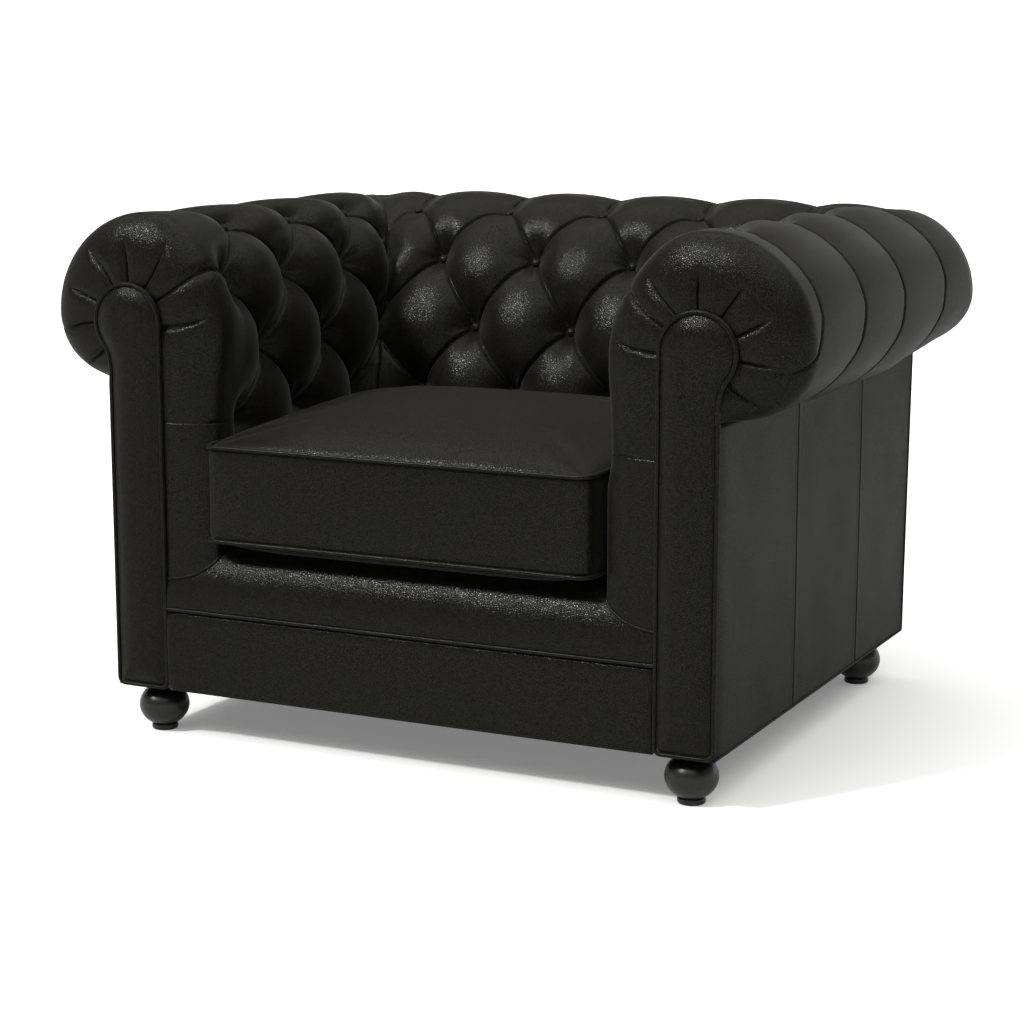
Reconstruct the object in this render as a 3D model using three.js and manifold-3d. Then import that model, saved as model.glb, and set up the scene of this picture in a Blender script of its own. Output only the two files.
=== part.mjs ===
// Chesterfield armchair, in millimetres, +Z up, x = 0 on the middle plane, the front facing -Y.
// Everything is set out from the facing plane, where y = 0, and y grows towards the back.
// The whole chair is then moved so that the middle of its plan lies on the origin.
import * as THREE from 'three';
import { mergeVertices } from 'three/addons/utils/BufferGeometryUtils.js';
import Module from 'manifold-3d';

const wasm = await Module();
wasm.setup();

// Overall plan and heights
const BODY_HALF = 450;
const BODY_DEPTH = 798;
const BODY_BOTTOM = 69;
const SEAT_HEIGHT = 272;
const ROLL_TOP = 734;
const ROLL_SIDE_REACH = 142;
const ROLL_BACK_REACH = 158;
const ROLL_RISE = 146;
const ROLL_DROP = 88;
const ROLL_AXIS_INSET = 30;
const BACK_AXIS_INSET = 83;
const PANEL_PROUD = 2;
const BACK_LEAN = 14;

// Upholstery layers, and the clearances between pieces that touch
const GAP = 0.3;
const MITRE_GAP = 0.5;
const LEATHER = 4;
const CUT_OVERRUN = 5;
const SLIVER = 3;
const COVER_BACKING = 5;
const FOAM_THICKNESS = 21;
const FOAM_TO_FRAME = 3.6;
const TUFT_DEPTH = 45;
const ROLL_PADDING = 20;

// Profile of the inside arm and inside back at the bottom of the buttons
const ARM_THICKNESS = 112;
const ARM_CURVE_RISE = 184;
const BACK_THICKNESS = 288;
const LUMBAR_PROUD = 10;
const LUMBAR_HEIGHT_SHARE = 0.416;
const SHOULDER_SET_BACK = 70;
const COVER_BELOW_SEAT = 10;

// Button lattice
const ARM_PITCH_SHARE = 0.2155;
const BACK_PITCH_SHARE = 0.4734;
const ARM_FIRST_BUTTON = 112;
const ROW_PLACE_SHARES = [0.87, 0.655, 0.46, 0.3];
const BUTTON_RADIUS = 7.5;
const BUTTON_RISE = 4;
const BUTTON_SINK = 4;

// Scroll facings
const STEM_WIDTH = 80;
const HEAD_RADIUS = 51;
const HEAD_DROP = 1;
const NECK_FALL = 52;
const NECK_WAIST = 3;
const PIPING_RADIUS = 3;
const FACING_DOME = 5;
const FACING_BOARD = 3;
const FRONT_EDGE_TUCK = 7;
const FRONT_CORNER = 15;
const RADIAL_PLEATS = 8;
const RADIAL_PLEAT_DEPTH = 4.5;
const OUTER_PLEAT_DEPTH = 7;
const OUTER_PLEAT_SLANT = 130;

// Seat lip, border and deck
const BORDER_HEIGHT = 121;
const LIP_BULGE = 2;
const LIP_ROUND = 40;
const LIP_TUCK = 110;
const LIP_LEATHER = 3;
const DECK_BEHIND_BACK = 5;
const PLATFORM_CLOTH = 2;
const INSULATOR = 3;

// Seat cushion
const CUSHION_CLEARANCE = 5;
const CUSHION_FRONT = -8;
const CUSHION_SAG = 20;
const CUSHION_BOXING = 130;
const CUSHION_BACK_RISE = 20;
const CUSHION_CROWN = 30;
const CUSHION_CORNER = 15;
const CUSHION_DRAW_IN = 4;
const CUSHION_WALL = 4;
const PIPING_NOTCH = 4.9;
const ZIP_LENGTH = 420;
const ZIP_WIDTH = 22;
const ZIP_TAPE = 2;
const ZIP_TEETH_WIDTH = 6;
const ZIP_TEETH_PROUD = 1;
const ZIP_SLIDER = { length: 11, width: 9, thickness: 2.6 };
const ZIP_PULL = { length: 24, width: 5, thickness: 1.4, proud: 1.2 };

// Timber frame
const RAIL_RAISE = 3;
const RAIL_HEIGHT = 110;
const RAIL_THICKNESS = 25;
const POST_THICKNESS = 30;
const POST_INSET = 14;
const POST_OUTER_INSET = 20;
const TOP_RAIL = { width: 40, height: 45 };
const BACK_TOP_RAIL_HEIGHT = 70;
const BACK_POST_WIDTH = 40;
const UPRIGHT_WIDTH = 45;
const TACK_RAIL = { thickness: 22, height: 75 };
const BLOCK = { leg: 62, height: 40 };
const DUST_COVER = 1.5;

// Springs
const SPRING_COUNT = 4;
const SPRING_TO_ARM = 113;
const SPRING_WIRE = 2;
const SPRING_HALF_WIDTH = 22;
const SPRING_LOOPS = 11;
const SPRING_ARCH = 9;
const SPRING_SIDES = 4;
const CLIP = { width: 34, depth: 12, height: 5 };

// Bun feet
const FOOT_SIDE_INSET = 45;
const FRONT_FOOT_Y = 43;
const BACK_FOOT_INSET = 75;
const FOOT_RADIUS = 35.5;
const FOOT_BASE_RADIUS = 17.5;
const FOOT_BASE_RING = 9;
const FOOT_BASE_SWELL = 1;
const FOOT_COLLAR_RADIUS = 24;
const FOOT_COLLAR_HEIGHT = 7;
const BOLT_RADIUS = 4;
const BOLT_IN_FOOT = 30;
const BOLT_IN_BLOCK = 28;

// Derived places
const PANEL_X = BODY_HALF + PANEL_PROUD;
const STEM_X = BODY_HALF - STEM_WIDTH;
const HEAD_X = STEM_X + HEAD_RADIUS;
const ROLL_AXIS_X = BODY_HALF - ROLL_AXIS_INSET;
const ROLL_AXIS_Y = BODY_DEPTH - BACK_AXIS_INSET;
const ROLL_AXIS_Z = ROLL_TOP - ROLL_RISE;
const ROLL_UNDERSIDE = ROLL_AXIS_Z - ROLL_DROP;
const HEAD_Z = ROLL_AXIS_Z - HEAD_DROP;
const NECK_Z = HEAD_Z - NECK_FALL;
const FRONT_FACE_Y = PIPING_RADIUS + GAP;
const BASE_TOP = ROLL_TOP - ROLL_PADDING;
const COVER_BOTTOM = SEAT_HEIGHT - COVER_BELOW_SEAT;
const ARM_FACE_X = BODY_HALF - ARM_THICKNESS;
const ARM_SPRING_Z = ROLL_TOP - ARM_CURVE_RISE;
const BACK_FOOT_Y = BODY_DEPTH - BACK_THICKNESS;
const BACK_LUMBAR_Y = BACK_FOOT_Y - LUMBAR_PROUD;
const BACK_LUMBAR_Z = COVER_BOTTOM + (BASE_TOP - COVER_BOTTOM) * LUMBAR_HEIGHT_SHARE;
const BACK_SHOULDER_Y = BACK_FOOT_Y + SHOULDER_SET_BACK;
const ARM_BUTTON_PITCH = BODY_DEPTH * ARM_PITCH_SHARE;
const BACK_BUTTON_PITCH = ARM_FACE_X * BACK_PITCH_SHARE;
const LIP_Z = BODY_BOTTOM + BORDER_HEIGHT;
const LIP_TOP = SEAT_HEIGHT - PLATFORM_CLOTH;
const LIP_RISE = LIP_TOP - LIP_Z;
const DECK_END = BACK_FOOT_Y + DECK_BEHIND_BACK;
const CUSHION_HALF = ARM_FACE_X - TUFT_DEPTH - CUSHION_CLEARANCE;
const CUSHION_BACK = BACK_FOOT_Y - TUFT_DEPTH - CUSHION_CLEARANCE;
const CUSHION_BOTTOM = SEAT_HEIGHT + CUSHION_SAG;
const CUSHION_TOP = CUSHION_BOTTOM + CUSHION_BOXING;
const RAIL_BOTTOM = BODY_BOTTOM + RAIL_RAISE;
const RAIL_TOP = RAIL_BOTTOM + RAIL_HEIGHT;
const SPRING_HALF_DEPTH = SPRING_WIRE * Math.cos(Math.PI / SPRING_SIDES);
const SPRING_SEAT_Z = RAIL_TOP + CLIP.height + GAP + SPRING_HALF_DEPTH;
const INSULATOR_Z = SPRING_SEAT_Z + SPRING_ARCH + SPRING_HALF_DEPTH + GAP;
const FOOT_X = BODY_HALF - FOOT_SIDE_INSET;
const BACK_FOOT_PLACE_Y = BODY_DEPTH - BACK_FOOT_INSET;
const CENTRE_Y = (ROLL_AXIS_Y + ROLL_BACK_REACH + CUSHION_FRONT - PIPING_RADIUS) / 2;

const chair = new THREE.Group();
chair.position.y = -CENTRE_Y;

const leather = new THREE.MeshStandardMaterial({ color: 0x23221f, roughness: 0.45, metalness: 0 });
const turnedWood = new THREE.MeshStandardMaterial({ color: 0x0d0c0b, roughness: 0.35, metalness: 0 });
const frameWood = new THREE.MeshStandardMaterial({ color: 0xb08a5c, roughness: 0.7, metalness: 0 });
const foam = new THREE.MeshStandardMaterial({ color: 0xe3d7b4, roughness: 0.95, metalness: 0 });
const cloth = new THREE.MeshStandardMaterial({ color: 0x1c1b1a, roughness: 0.95, metalness: 0 });
const hessian = new THREE.MeshStandardMaterial({ color: 0x9c8256, roughness: 0.95, metalness: 0 });
const steel = new THREE.MeshStandardMaterial({ color: 0x8d8f92, roughness: 0.35, metalness: 1 });
const zinc = new THREE.MeshStandardMaterial({ color: 0x6d6a62, roughness: 0.3, metalness: 1 });

// The share of a run's length passed at each of its points
function travelled(points) {
  const lengths = [0];
  for (let k = 1; k < points.length; k += 1) {
    const [a, b] = [points[k - 1], points[k]];
    lengths.push(lengths[k - 1] + Math.hypot(b[0] - a[0], b[1] - a[1], b[2] - a[2]));
  }
  return lengths.map((length) => length / lengths.at(-1));
}

// Collects triangles, sharing the vertices that lie at one place
class Skin {
  constructor() {
    this.positions = [];
    this.triangles = [];
    this.places = new Map();
  }

  vertex(point) {
    const key = point.map((value) => value.toFixed(3)).join(' ');
    if (!this.places.has(key)) {
      this.places.set(key, this.positions.length / 3);
      this.positions.push(...point);
    }
    return this.places.get(key);
  }

  triangle(first, second, third) {
    const corners = [first, second, third].map((point) => this.vertex(point));
    if (new Set(corners).size === 3) this.triangles.push(...corners);
  }

  // A strip between two runs of points that may differ in number
  bridge(one, two) {
    const [first, second] = [travelled(one), travelled(two)];
    let i = 0;
    let j = 0;
    while (i < one.length - 1 || j < two.length - 1) {
      const lagging = first[i + 1] <= second[j + 1];
      if (i < one.length - 1 && (lagging || j === two.length - 1)) {
        this.triangle(one[i + 1], one[i], two[j]);
        i += 1;
      } else {
        this.triangle(one[i], two[j], two[j + 1]);
        j += 1;
      }
    }
  }

  grid(rows, fallingDiagonal = () => false) {
    for (let j = 0; j < rows.length - 1; j += 1) {
      for (let i = 0; i < rows[j].length - 1; i += 1) {
        const [a, b, c, d] = [rows[j][i], rows[j][i + 1], rows[j + 1][i + 1], rows[j + 1][i]];
        if (fallingDiagonal(j, i)) {
          this.triangle(a, b, d);
          this.triangle(b, c, d);
        } else {
          this.triangle(a, b, c);
          this.triangle(a, c, d);
        }
      }
    }
  }

  geometry() {
    const geometry = new THREE.BufferGeometry();
    geometry.setAttribute('position', new THREE.Float32BufferAttribute(this.positions, 3));
    geometry.setIndex(this.triangles);
    return facingOut(geometry);
  }
}

function facingOut(geometry) {
  const position = geometry.attributes.position;
  const index = geometry.index.array;
  const corners = [new THREE.Vector3(), new THREE.Vector3(), new THREE.Vector3()];
  let volume = 0;
  for (let i = 0; i < index.length; i += 3) {
    corners.forEach((corner, k) => corner.fromBufferAttribute(position, index[i + k]));
    volume += corners[0].dot(corners[1].clone().cross(corners[2]));
  }
  if (volume < 0) {
    for (let i = 0; i < index.length; i += 3) [index[i], index[i + 1]] = [index[i + 1], index[i]];
  }
  return geometry;
}

// Keeps positions only, with shared vertices merged and collapsed triangles left out
function cleaned(geometry) {
  const bare = geometry.clone();
  bare.deleteAttribute('normal');
  bare.deleteAttribute('uv');
  const merged = mergeVertices(bare, 1e-3);
  const kept = [];
  const index = merged.index.array;
  for (let i = 0; i < index.length; i += 3) {
    const corners = [index[i], index[i + 1], index[i + 2]];
    if (new Set(corners).size === 3) kept.push(...corners);
  }
  merged.setIndex(kept);
  return merged;
}

function toSolid(geometry) {
  const clean = cleaned(geometry);
  return new wasm.Manifold(new wasm.Mesh({
    numProp: 3,
    vertProperties: new Float32Array(clean.attributes.position.array),
    triVerts: new Uint32Array(clean.index.array),
  }));
}

function fromSolid(solid) {
  const mesh = solid.getMesh();
  const geometry = new THREE.BufferGeometry();
  geometry.setAttribute('position', new THREE.BufferAttribute(new Float32Array(mesh.vertProperties), 3));
  geometry.setIndex(new THREE.BufferAttribute(new Uint32Array(mesh.triVerts), 1));
  return geometry;
}

function joined(geometries) {
  return fromSolid(geometries.map(toSolid).reduce((sum, solid) => sum.add(solid)));
}

function cutBy(geometry, cutters) {
  return fromSolid(cutters.map(toSolid).reduce((rest, cutter) => rest.subtract(cutter), toSolid(geometry)));
}

function mirrored(geometry) {
  const copy = cleaned(geometry);
  copy.scale(-1, 1, 1);
  return facingOut(copy);
}

function add(name, geometry, material) {
  const mesh = new THREE.Mesh(geometry, material);
  mesh.name = name;
  chair.add(mesh);
}

// A piece on the right as drawn, and its mirror image on the left
function addPair(name, geometry, material) {
  add(`right_${name}`, geometry, material);
  add(`left_${name}`, mirrored(geometry), material);
}

function block([x0, x1], [y0, y1], [z0, z1]) {
  const box = new THREE.BoxGeometry(x1 - x0, y1 - y0, z1 - z0);
  return box.translate((x0 + x1) / 2, (y0 + y1) / 2, (z0 + z1) / 2);
}

const ALONG_X = new THREE.Matrix4().makeBasis(
  new THREE.Vector3(0, 1, 0),
  new THREE.Vector3(0, 0, 1),
  new THREE.Vector3(1, 0, 0),
);

// A shape drawn in y and z, carried along x
function prismAlongX(shape, [x0, x1]) {
  const prism = new THREE.ExtrudeGeometry(shape, { depth: x1 - x0, bevelEnabled: false });
  return prism.applyMatrix4(ALONG_X).translate(x0, 0, 0);
}

// A shape drawn in x and z, carried along y
function prismAlongY(shape, [y0, y1], curveSegments = 8) {
  const prism = new THREE.ExtrudeGeometry(shape, { depth: y1 - y0, bevelEnabled: false, curveSegments });
  return prism.rotateX(Math.PI / 2).translate(0, y1, 0);
}

function polygon(points) {
  return new THREE.Shape(points.map(([a, b]) => new THREE.Vector2(a, b)));
}

function unit(a, b) {
  const length = Math.hypot(a, b);
  return [a / length, b / length];
}

function mix(a, b, share) {
  return a + (b - a) * share;
}

function ease(share) {
  const s = Math.min(Math.max(share, 0), 1);
  return s * s * (3 - 2 * s);
}

// Inside back and inside arm profiles.
// A station is a place along the profile: inner stations run from the deck (0) to the roll's top (1),
// and outer stations turn half round the roll, from its top (0) to its underside (1).
function backInner(share) {
  const [p, q] = [1 - share, share];
  const weights = [p * p * p, 3 * p * p * q, 3 * p * q * q, q * q * q];
  const ys = [BACK_FOOT_Y, BACK_LUMBAR_Y, BACK_SHOULDER_Y, ROLL_AXIS_Y];
  const zs = [COVER_BOTTOM, BACK_LUMBAR_Z, BASE_TOP, BASE_TOP];
  const sum = (values) => values.reduce((total, value, k) => total + value * weights[k], 0);
  return { y: sum(ys), z: sum(zs) };
}

function armSwing(station) {
  const rise = (backInner(station.inner).z - ARM_SPRING_Z) / (BASE_TOP - ARM_SPRING_Z);
  return Math.asin(Math.min(Math.max(rise, 0), 1));
}

function quarterTurn(station, axis, reach, end) {
  const angle = station.outer * Math.PI;
  const rise = BASE_TOP - ROLL_AXIS_Z;
  const underside = ROLL_AXIS_Z - ROLL_UNDERSIDE - ROLL_PADDING;
  if (station.outer <= 1 / 2) {
    const [out, up] = unit(Math.sin(angle) / reach, Math.cos(angle) / rise);
    return { out: axis + reach * Math.sin(angle), z: ROLL_AXIS_Z + rise * Math.cos(angle), normal: [out, up] };
  }
  const under = axis + reach - end;
  const [out, up] = unit(Math.sin(angle) / under, Math.cos(angle) / underside);
  return { out: end + under * Math.sin(angle), z: ROLL_AXIS_Z + underside * Math.cos(angle), normal: [out, up] };
}

function armProfile(station, level) {
  if (station.outer !== undefined) {
    const turn = quarterTurn(station, ROLL_AXIS_X, ROLL_SIDE_REACH - ROLL_PADDING, PANEL_X);
    return { x: turn.out + turn.normal[0] * level, z: turn.z + turn.normal[1] * level };
  }
  const swing = armSwing(station);
  const [across, rise] = [ROLL_AXIS_X - ARM_FACE_X, BASE_TOP - ARM_SPRING_Z];
  const [out, up] = unit(-Math.cos(swing) / across, Math.sin(swing) / rise);
  const z = backInner(station.inner).z;
  return { x: ROLL_AXIS_X - across * Math.cos(swing) + out * level, z: z + up * level };
}

function backProfile(station, level) {
  if (station.outer !== undefined) {
    const end = BODY_DEPTH + BACK_LEAN;
    const turn = quarterTurn(station, ROLL_AXIS_Y, ROLL_BACK_REACH - ROLL_PADDING, end);
    return { y: turn.out + turn.normal[0] * level, z: turn.z + turn.normal[1] * level };
  }
  const step = 1e-3;
  const [here, next] = [backInner(station.inner - step), backInner(station.inner + step)];
  const [up, back] = unit(next.y - here.y, next.z - here.z);
  const { y, z } = backInner(station.inner);
  return { y: y - back * level, z: z + up * level };
}

const CORNER_SQUARE_SHARE = 0.83;

// The mitre between arm and back: a plain corner inside, a rounded one outside that squares off below
function cornerPoint(station, level, turnShare) {
  const arm = armProfile(station, level);
  const back = backProfile(station, level);
  const z = mix(arm.z, back.z, turnShare);
  if (station.outer === undefined) return [arm.x, back.y, (arm.z + back.z) / 2];
  const angle = turnShare * (Math.PI / 2);
  const square = ease((station.outer - CORNER_SQUARE_SHARE) / (1 - CORNER_SQUARE_SHARE));
  const across = mix(Math.cos(angle), Math.min(1, 1 / Math.tan(Math.max(angle, 1e-6))), square);
  const along = mix(Math.sin(angle), Math.min(1, Math.tan(Math.min(angle, Math.PI / 4))), square);
  return [
    ROLL_AXIS_X + (arm.x - ROLL_AXIS_X) * across,
    ROLL_AXIS_Y + (back.y - ROLL_AXIS_Y) * along,
    z,
  ];
}

// Stations from the deck to the underside, with the button rows and two places between each
const ROWS_PER_PITCH = 3;
const LAST_ROW = ROW_PLACE_SHARES.length - 1;
const DECK_ROW = LAST_ROW + 2;
const OUTER_PLACE_SHARES = [0.09, 0.18, 0.28, 0.37, 0.46, 0.55, 0.64, 0.74, 0.86, 1];
const PLEAT_ROWS_ROUND_ROLL = 4;

function innerStation(row) {
  if (row >= LAST_ROW) {
    const left = (DECK_ROW - row) / (DECK_ROW - LAST_ROW);
    return { row, inner: ROW_PLACE_SHARES[LAST_ROW] * left };
  }
  const above = Math.floor(row);
  return { row, inner: mix(ROW_PLACE_SHARES[above], ROW_PLACE_SHARES[above + 1], row - above) };
}

const STATIONS = [DECK_ROW, DECK_ROW - 1].map(innerStation);
for (let step = LAST_ROW * ROWS_PER_PITCH; step >= 0; step -= 1) {
  STATIONS.push(innerStation(step / ROWS_PER_PITCH));
}
STATIONS.push({ row: -1 / ROWS_PER_PITCH, inner: 1 });
OUTER_PLACE_SHARES.forEach((outer) => {
  STATIONS.push({ row: -1 / ROWS_PER_PITCH - PLEAT_ROWS_ROUND_ROLL * outer, outer });
});

function paddingAt(station) {
  if (station.outer !== undefined) return ROLL_PADDING;
  return mix(ROLL_PADDING, TUFT_DEPTH, Math.cos(armSwing(station)) ** 0.8);
}

// How full the padding stands, from 0 in a button's hollow to 1 on a crown.
// along is in pitches from a button of the upper row, and row counts down from the top row.
const PLEAT_FULLNESS = 0.42;

function swell(distance) {
  return Math.sin(Math.PI * Math.min(Math.abs(distance), 0.5)) ** 0.7;
}

function toNearest(value) {
  return value - Math.round(value);
}

function diamondFullness(along, row, isPlain = () => false) {
  const rising = along + row / 2;
  const falling = along - row / 2;
  const active = (value, other, swap) => {
    const [low, high] = [Math.floor(value), Math.ceil(value)];
    const side = value - low < 0.5 ? low : high;
    const beyond = side === low ? low - 0.5 : high + 0.5;
    const middle = Math.floor(value) + 0.5;
    const cell = Math.floor(other) + 0.5;
    const plainHere = swap ? isPlain(cell, middle) : isPlain(middle, cell);
    const plainBeyond = swap ? isPlain(cell, beyond) : isPlain(beyond, cell);
    return plainHere && plainBeyond ? 1 : swell(toNearest(value));
  };
  const across = active(rising, falling, false);
  const down = active(falling, rising, true);
  const edge = across + down - across * down;
  return PLEAT_FULLNESS * edge + (1 - PLEAT_FULLNESS) * across * down;
}

function tuftFullness(along, row, pleatShift, isPlain) {
  const outerFullness = 1 - OUTER_PLEAT_DEPTH / ROLL_PADDING;
  if (row < 0) {
    const pleat = mix(outerFullness, 1, swell(toNearest(along + pleatShift)));
    return mix(diamondFullness(along, 0, isPlain), pleat, ease(-row / 0.6));
  }
  if (row > LAST_ROW) {
    const pleat = mix(PLEAT_FULLNESS, 1, swell(toNearest(along + LAST_ROW / 2)));
    return mix(diamondFullness(along, LAST_ROW, isPlain), pleat, ease((row - LAST_ROW) / 0.6));
  }
  return diamondFullness(along, row, isPlain);
}

// Towards the mitre the padding sinks into the corner fold, and stays on its own side of the mitre
const CORNER_FULLNESS = 0.25;
const CORNER_FOLD_SHARE = 1.7;
const CORNER_FOLD = 45;

function cornerLevel(level, distance, station) {
  if (station.outer !== undefined) {
    const seam = ROLL_PADDING - OUTER_PLEAT_DEPTH;
    return mix(seam, level, ease(distance / CORNER_FOLD));
  }
  const padding = paddingAt(station);
  const seam = CORNER_FULLNESS * padding;
  const away = Math.max(distance - seam, 0) / (CORNER_FOLD_SHARE * (padding - seam));
  const most = mix(seam, padding, Math.sin(Math.min(away, 1) * (Math.PI / 2)));
  return Math.min(level, most);
}

// Arm cover
const FRONT_ROUND = ARM_FIRST_BUTTON - ARM_BUTTON_PITCH / 3 - FRONT_FACE_Y;
const COLUMN_STEP = ARM_BUTTON_PITCH / 6;
const FRONT_SHARES = [0, 0.28, 0.55, 0.8, 1];
const FRONT_FULLNESS_SHARE = 0.82;
const FRONT_BLEND_HEIGHT = 110;
const CORNER_SHARES = [1 / 6, 1 / 3, 1 / 2];

function lipSurface(y) {
  const reach = (LIP_ROUND - Math.max(y, -LIP_BULGE)) / (LIP_ROUND + LIP_BULGE);
  return LIP_Z + LIP_RISE * Math.sqrt(Math.max(0, 1 - reach * reach));
}

// The cover stands on the lip at the front and on the deck's edge behind it
function coverBottom(y) {
  return y < LIP_ROUND ? Math.min(COVER_BOTTOM, lipSurface(y) - CUT_OVERRUN) : COVER_BOTTOM;
}

function lipCutter() {
  const outline = [...lipRound(-GAP), [LIP_TUCK, LIP_TOP + GAP], [LIP_TUCK, LIP_Z]];
  const full = prismAlongX(polygon(outline), [0, STEM_X - GAP]);
  const flush = block([0, STEM_X], [-CUT_OVERRUN, LIP_TUCK], [COVER_BOTTOM, SEAT_HEIGHT + CUT_OVERRUN]);
  return cutBy(full, [flush]);
}

const NECK_LEAVE = -0.233 * Math.PI;

function neckCurve(inset) {
  const radius = HEAD_RADIUS - inset;
  return new THREE.QuadraticBezierCurve(
    new THREE.Vector2(HEAD_X + radius * Math.cos(NECK_LEAVE), HEAD_Z + radius * Math.sin(NECK_LEAVE)),
    new THREE.Vector2(BODY_HALF - NECK_WAIST - inset, NECK_Z),
    new THREE.Vector2(BODY_HALF - inset, ROLL_UNDERSIDE),
  );
}

const PLEAT_FAN_SHARES = [1.04, -0.267];
const PLEAT_HALF_WIDTH_SHARE = 0.26;

function headDirection(station) {
  const { x, z } = armProfile(station, 0);
  return Math.atan2(z - HEAD_Z, x - HEAD_X);
}

function pleatAt(station) {
  const [first, last] = PLEAT_FAN_SHARES.map((share) => share * Math.PI);
  const turned = (first - headDirection(station)) / (first - last);
  const index = turned * (RADIAL_PLEATS - 1);
  const nearest = Math.min(Math.max(Math.round(index), 0), RADIAL_PLEATS - 1);
  const near = Math.abs(index - nearest) < PLEAT_HALF_WIDTH_SHARE;
  return near && armProfile(station, 0).z > HEAD_Z - HEAD_RADIUS ? 1 : 0;
}

// Where the cover is tucked in behind the facing's edge: up the stem, round the head, down the neck
function frontEdge(station, z) {
  const direction = headDirection(station);
  const radius = HEAD_RADIUS - FRONT_EDGE_TUCK;
  if (station.outer === undefined && z < HEAD_Z) return [STEM_X + FRONT_EDGE_TUCK, z];
  if (station.outer === undefined || direction > NECK_LEAVE) {
    return [HEAD_X + radius * Math.cos(direction), HEAD_Z + radius * Math.sin(direction)];
  }
  const last = headDirection({ outer: 1 });
  const down = (NECK_LEAVE - direction) / (NECK_LEAVE - last);
  const neck = neckCurve(FRONT_EDGE_TUCK).getPoint(down);
  return [neck.x, neck.y];
}

// The front edge turns tightly beside the seat and widely round the roll
function frontDepth(station, z) {
  if (station.outer !== undefined) return FRONT_ROUND;
  const depth = mix(FRONT_CORNER, FRONT_ROUND, ease((z - HEAD_Z) / FRONT_BLEND_HEIGHT + 1));
  return FRONT_ROUND - depth < SLIVER ? FRONT_ROUND : depth;
}

function frontPoint(station, share, level, withPleats) {
  const angle = share * (Math.PI / 2);
  const { x, z } = armProfile(station, level);
  const start = frontEdge(station, z);
  const pleat = withPleats ? pleatAt(station) * RADIAL_PLEAT_DEPTH * Math.sin(Math.PI * share) : 0;
  const front = FRONT_FACE_Y + Math.max(-level, 0);
  const back = 1 - Math.max(Math.cos(angle), 0) ** FRONT_FULLNESS_SHARE;
  const y = mix(front, FRONT_FACE_Y + frontDepth(station, z), back) + pleat;
  const reach = Math.sin(angle) ** FRONT_FULLNESS_SHARE;
  return [mix(start[0], x, reach), y, mix(start[1], z, reach)];
}

function armPoint(station, column, levelAt, isBottom, withPleats = false) {
  let point;
  if (column.front !== undefined) {
    const level = mix(
      levelAt(station, FRONT_FACE_Y),
      levelAt(station, FRONT_FACE_Y + FRONT_ROUND),
      column.front ** 2,
    );
    point = frontPoint(station, column.front, level, withPleats);
  } else {
    const level = levelAt(station, column.y ?? ROLL_AXIS_Y);
    const inside = station.outer === undefined;
    const edgeLevel = levelAt(station, Infinity);
    const end = inside ? cornerPoint(station, edgeLevel, 0.5)[1] : ROLL_AXIS_Y;
    const { x, z } = armProfile(station, level);
    if (inside && (column.corner !== undefined || column.y > end - COLUMN_STEP / 3)) {
      const [cx, cy, cz] = cornerPoint(station, edgeLevel, 0.5);
      point = [cx, cy - MITRE_GAP, cz];
    } else if (column.corner !== undefined) {
      const [cx, cy, cz] = cornerPoint(station, levelAt(station, Infinity * column.corner), column.corner);
      point = [cx, cy - MITRE_GAP, cz];
    } else {
      const straight = (column.y - FRONT_FACE_Y - FRONT_ROUND) / (ROLL_AXIS_Y - FRONT_FACE_Y - FRONT_ROUND);
      point = [x, column.y - (inside ? 0 : MITRE_GAP * straight), z];
    }
  }
  if (isBottom) point[2] = coverBottom(point[1]);
  return point;
}

function armRows(stations, columns, levelAt, withPleats) {
  return stations.map((station) => columns.map(
    (column) => armPoint(station, column, levelAt, station === STATIONS[0], withPleats),
  ));
}

// The outer pleats slant forward as they go over the roll, and run straight where they start
function slantAt(station, y) {
  if (station.row >= 0) return 0;
  const spread = ease(y / (ARM_FIRST_BUTTON + ARM_BUTTON_PITCH / 2));
  return (OUTER_PLEAT_SLANT / ARM_BUTTON_PITCH) * ease(-station.row / 3) * spread;
}

function armFullness(station, y) {
  const along = (y - ARM_FIRST_BUTTON) / ARM_BUTTON_PITCH - 0.5;
  const isPlain = (rising, falling) => (rising + falling) / 2 < -0.25;
  return tuftFullness(along, station.row, slantAt(station, y), isPlain);
}

function armLevel(station, y) {
  const padding = paddingAt(station);
  if (y === FRONT_FACE_Y) return padding;
  if (y === Infinity) return cornerLevel(padding, 0, station);
  const end = station.outer === undefined ? backProfile(station, 0).y : Infinity;
  return cornerLevel(padding * armFullness(station, y), end - y, station);
}

function closedShell(outerRows, innerRows, fallingDiagonal) {
  const skin = new Skin();
  const column = (rows, i) => rows.map((row) => row.at(i));
  skin.grid(outerRows, fallingDiagonal);
  skin.grid(innerRows.map((row) => [...row].reverse()), () => true);
  skin.bridge(outerRows[0], innerRows[0]);
  skin.bridge(column(outerRows, -1), column(innerRows, -1));
  skin.bridge([...outerRows.at(-1)].reverse(), [...innerRows.at(-1)].reverse());
  skin.bridge(column(outerRows, 0).reverse(), column(innerRows, 0).reverse());
  return skin.geometry();
}

const armColumns = FRONT_SHARES.map((front) => ({ front }));
for (let y = FRONT_FACE_Y + FRONT_ROUND; y < ROLL_AXIS_Y - COLUMN_STEP / 2; y += COLUMN_STEP) {
  armColumns.push({ y });
}
armColumns.push({ y: ROLL_AXIS_Y }, ...CORNER_SHARES.map((corner) => ({ corner })));

const plainArmColumns = [{ front: 0 }, { front: 0.5 }, { front: 1 }, { y: FRONT_FACE_Y + FRONT_ROUND }, { y: ROLL_AXIS_Y },
  { corner: 1 / 4 }, { corner: 1 / 2 }];

function flat(level) {
  return () => level;
}

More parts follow.
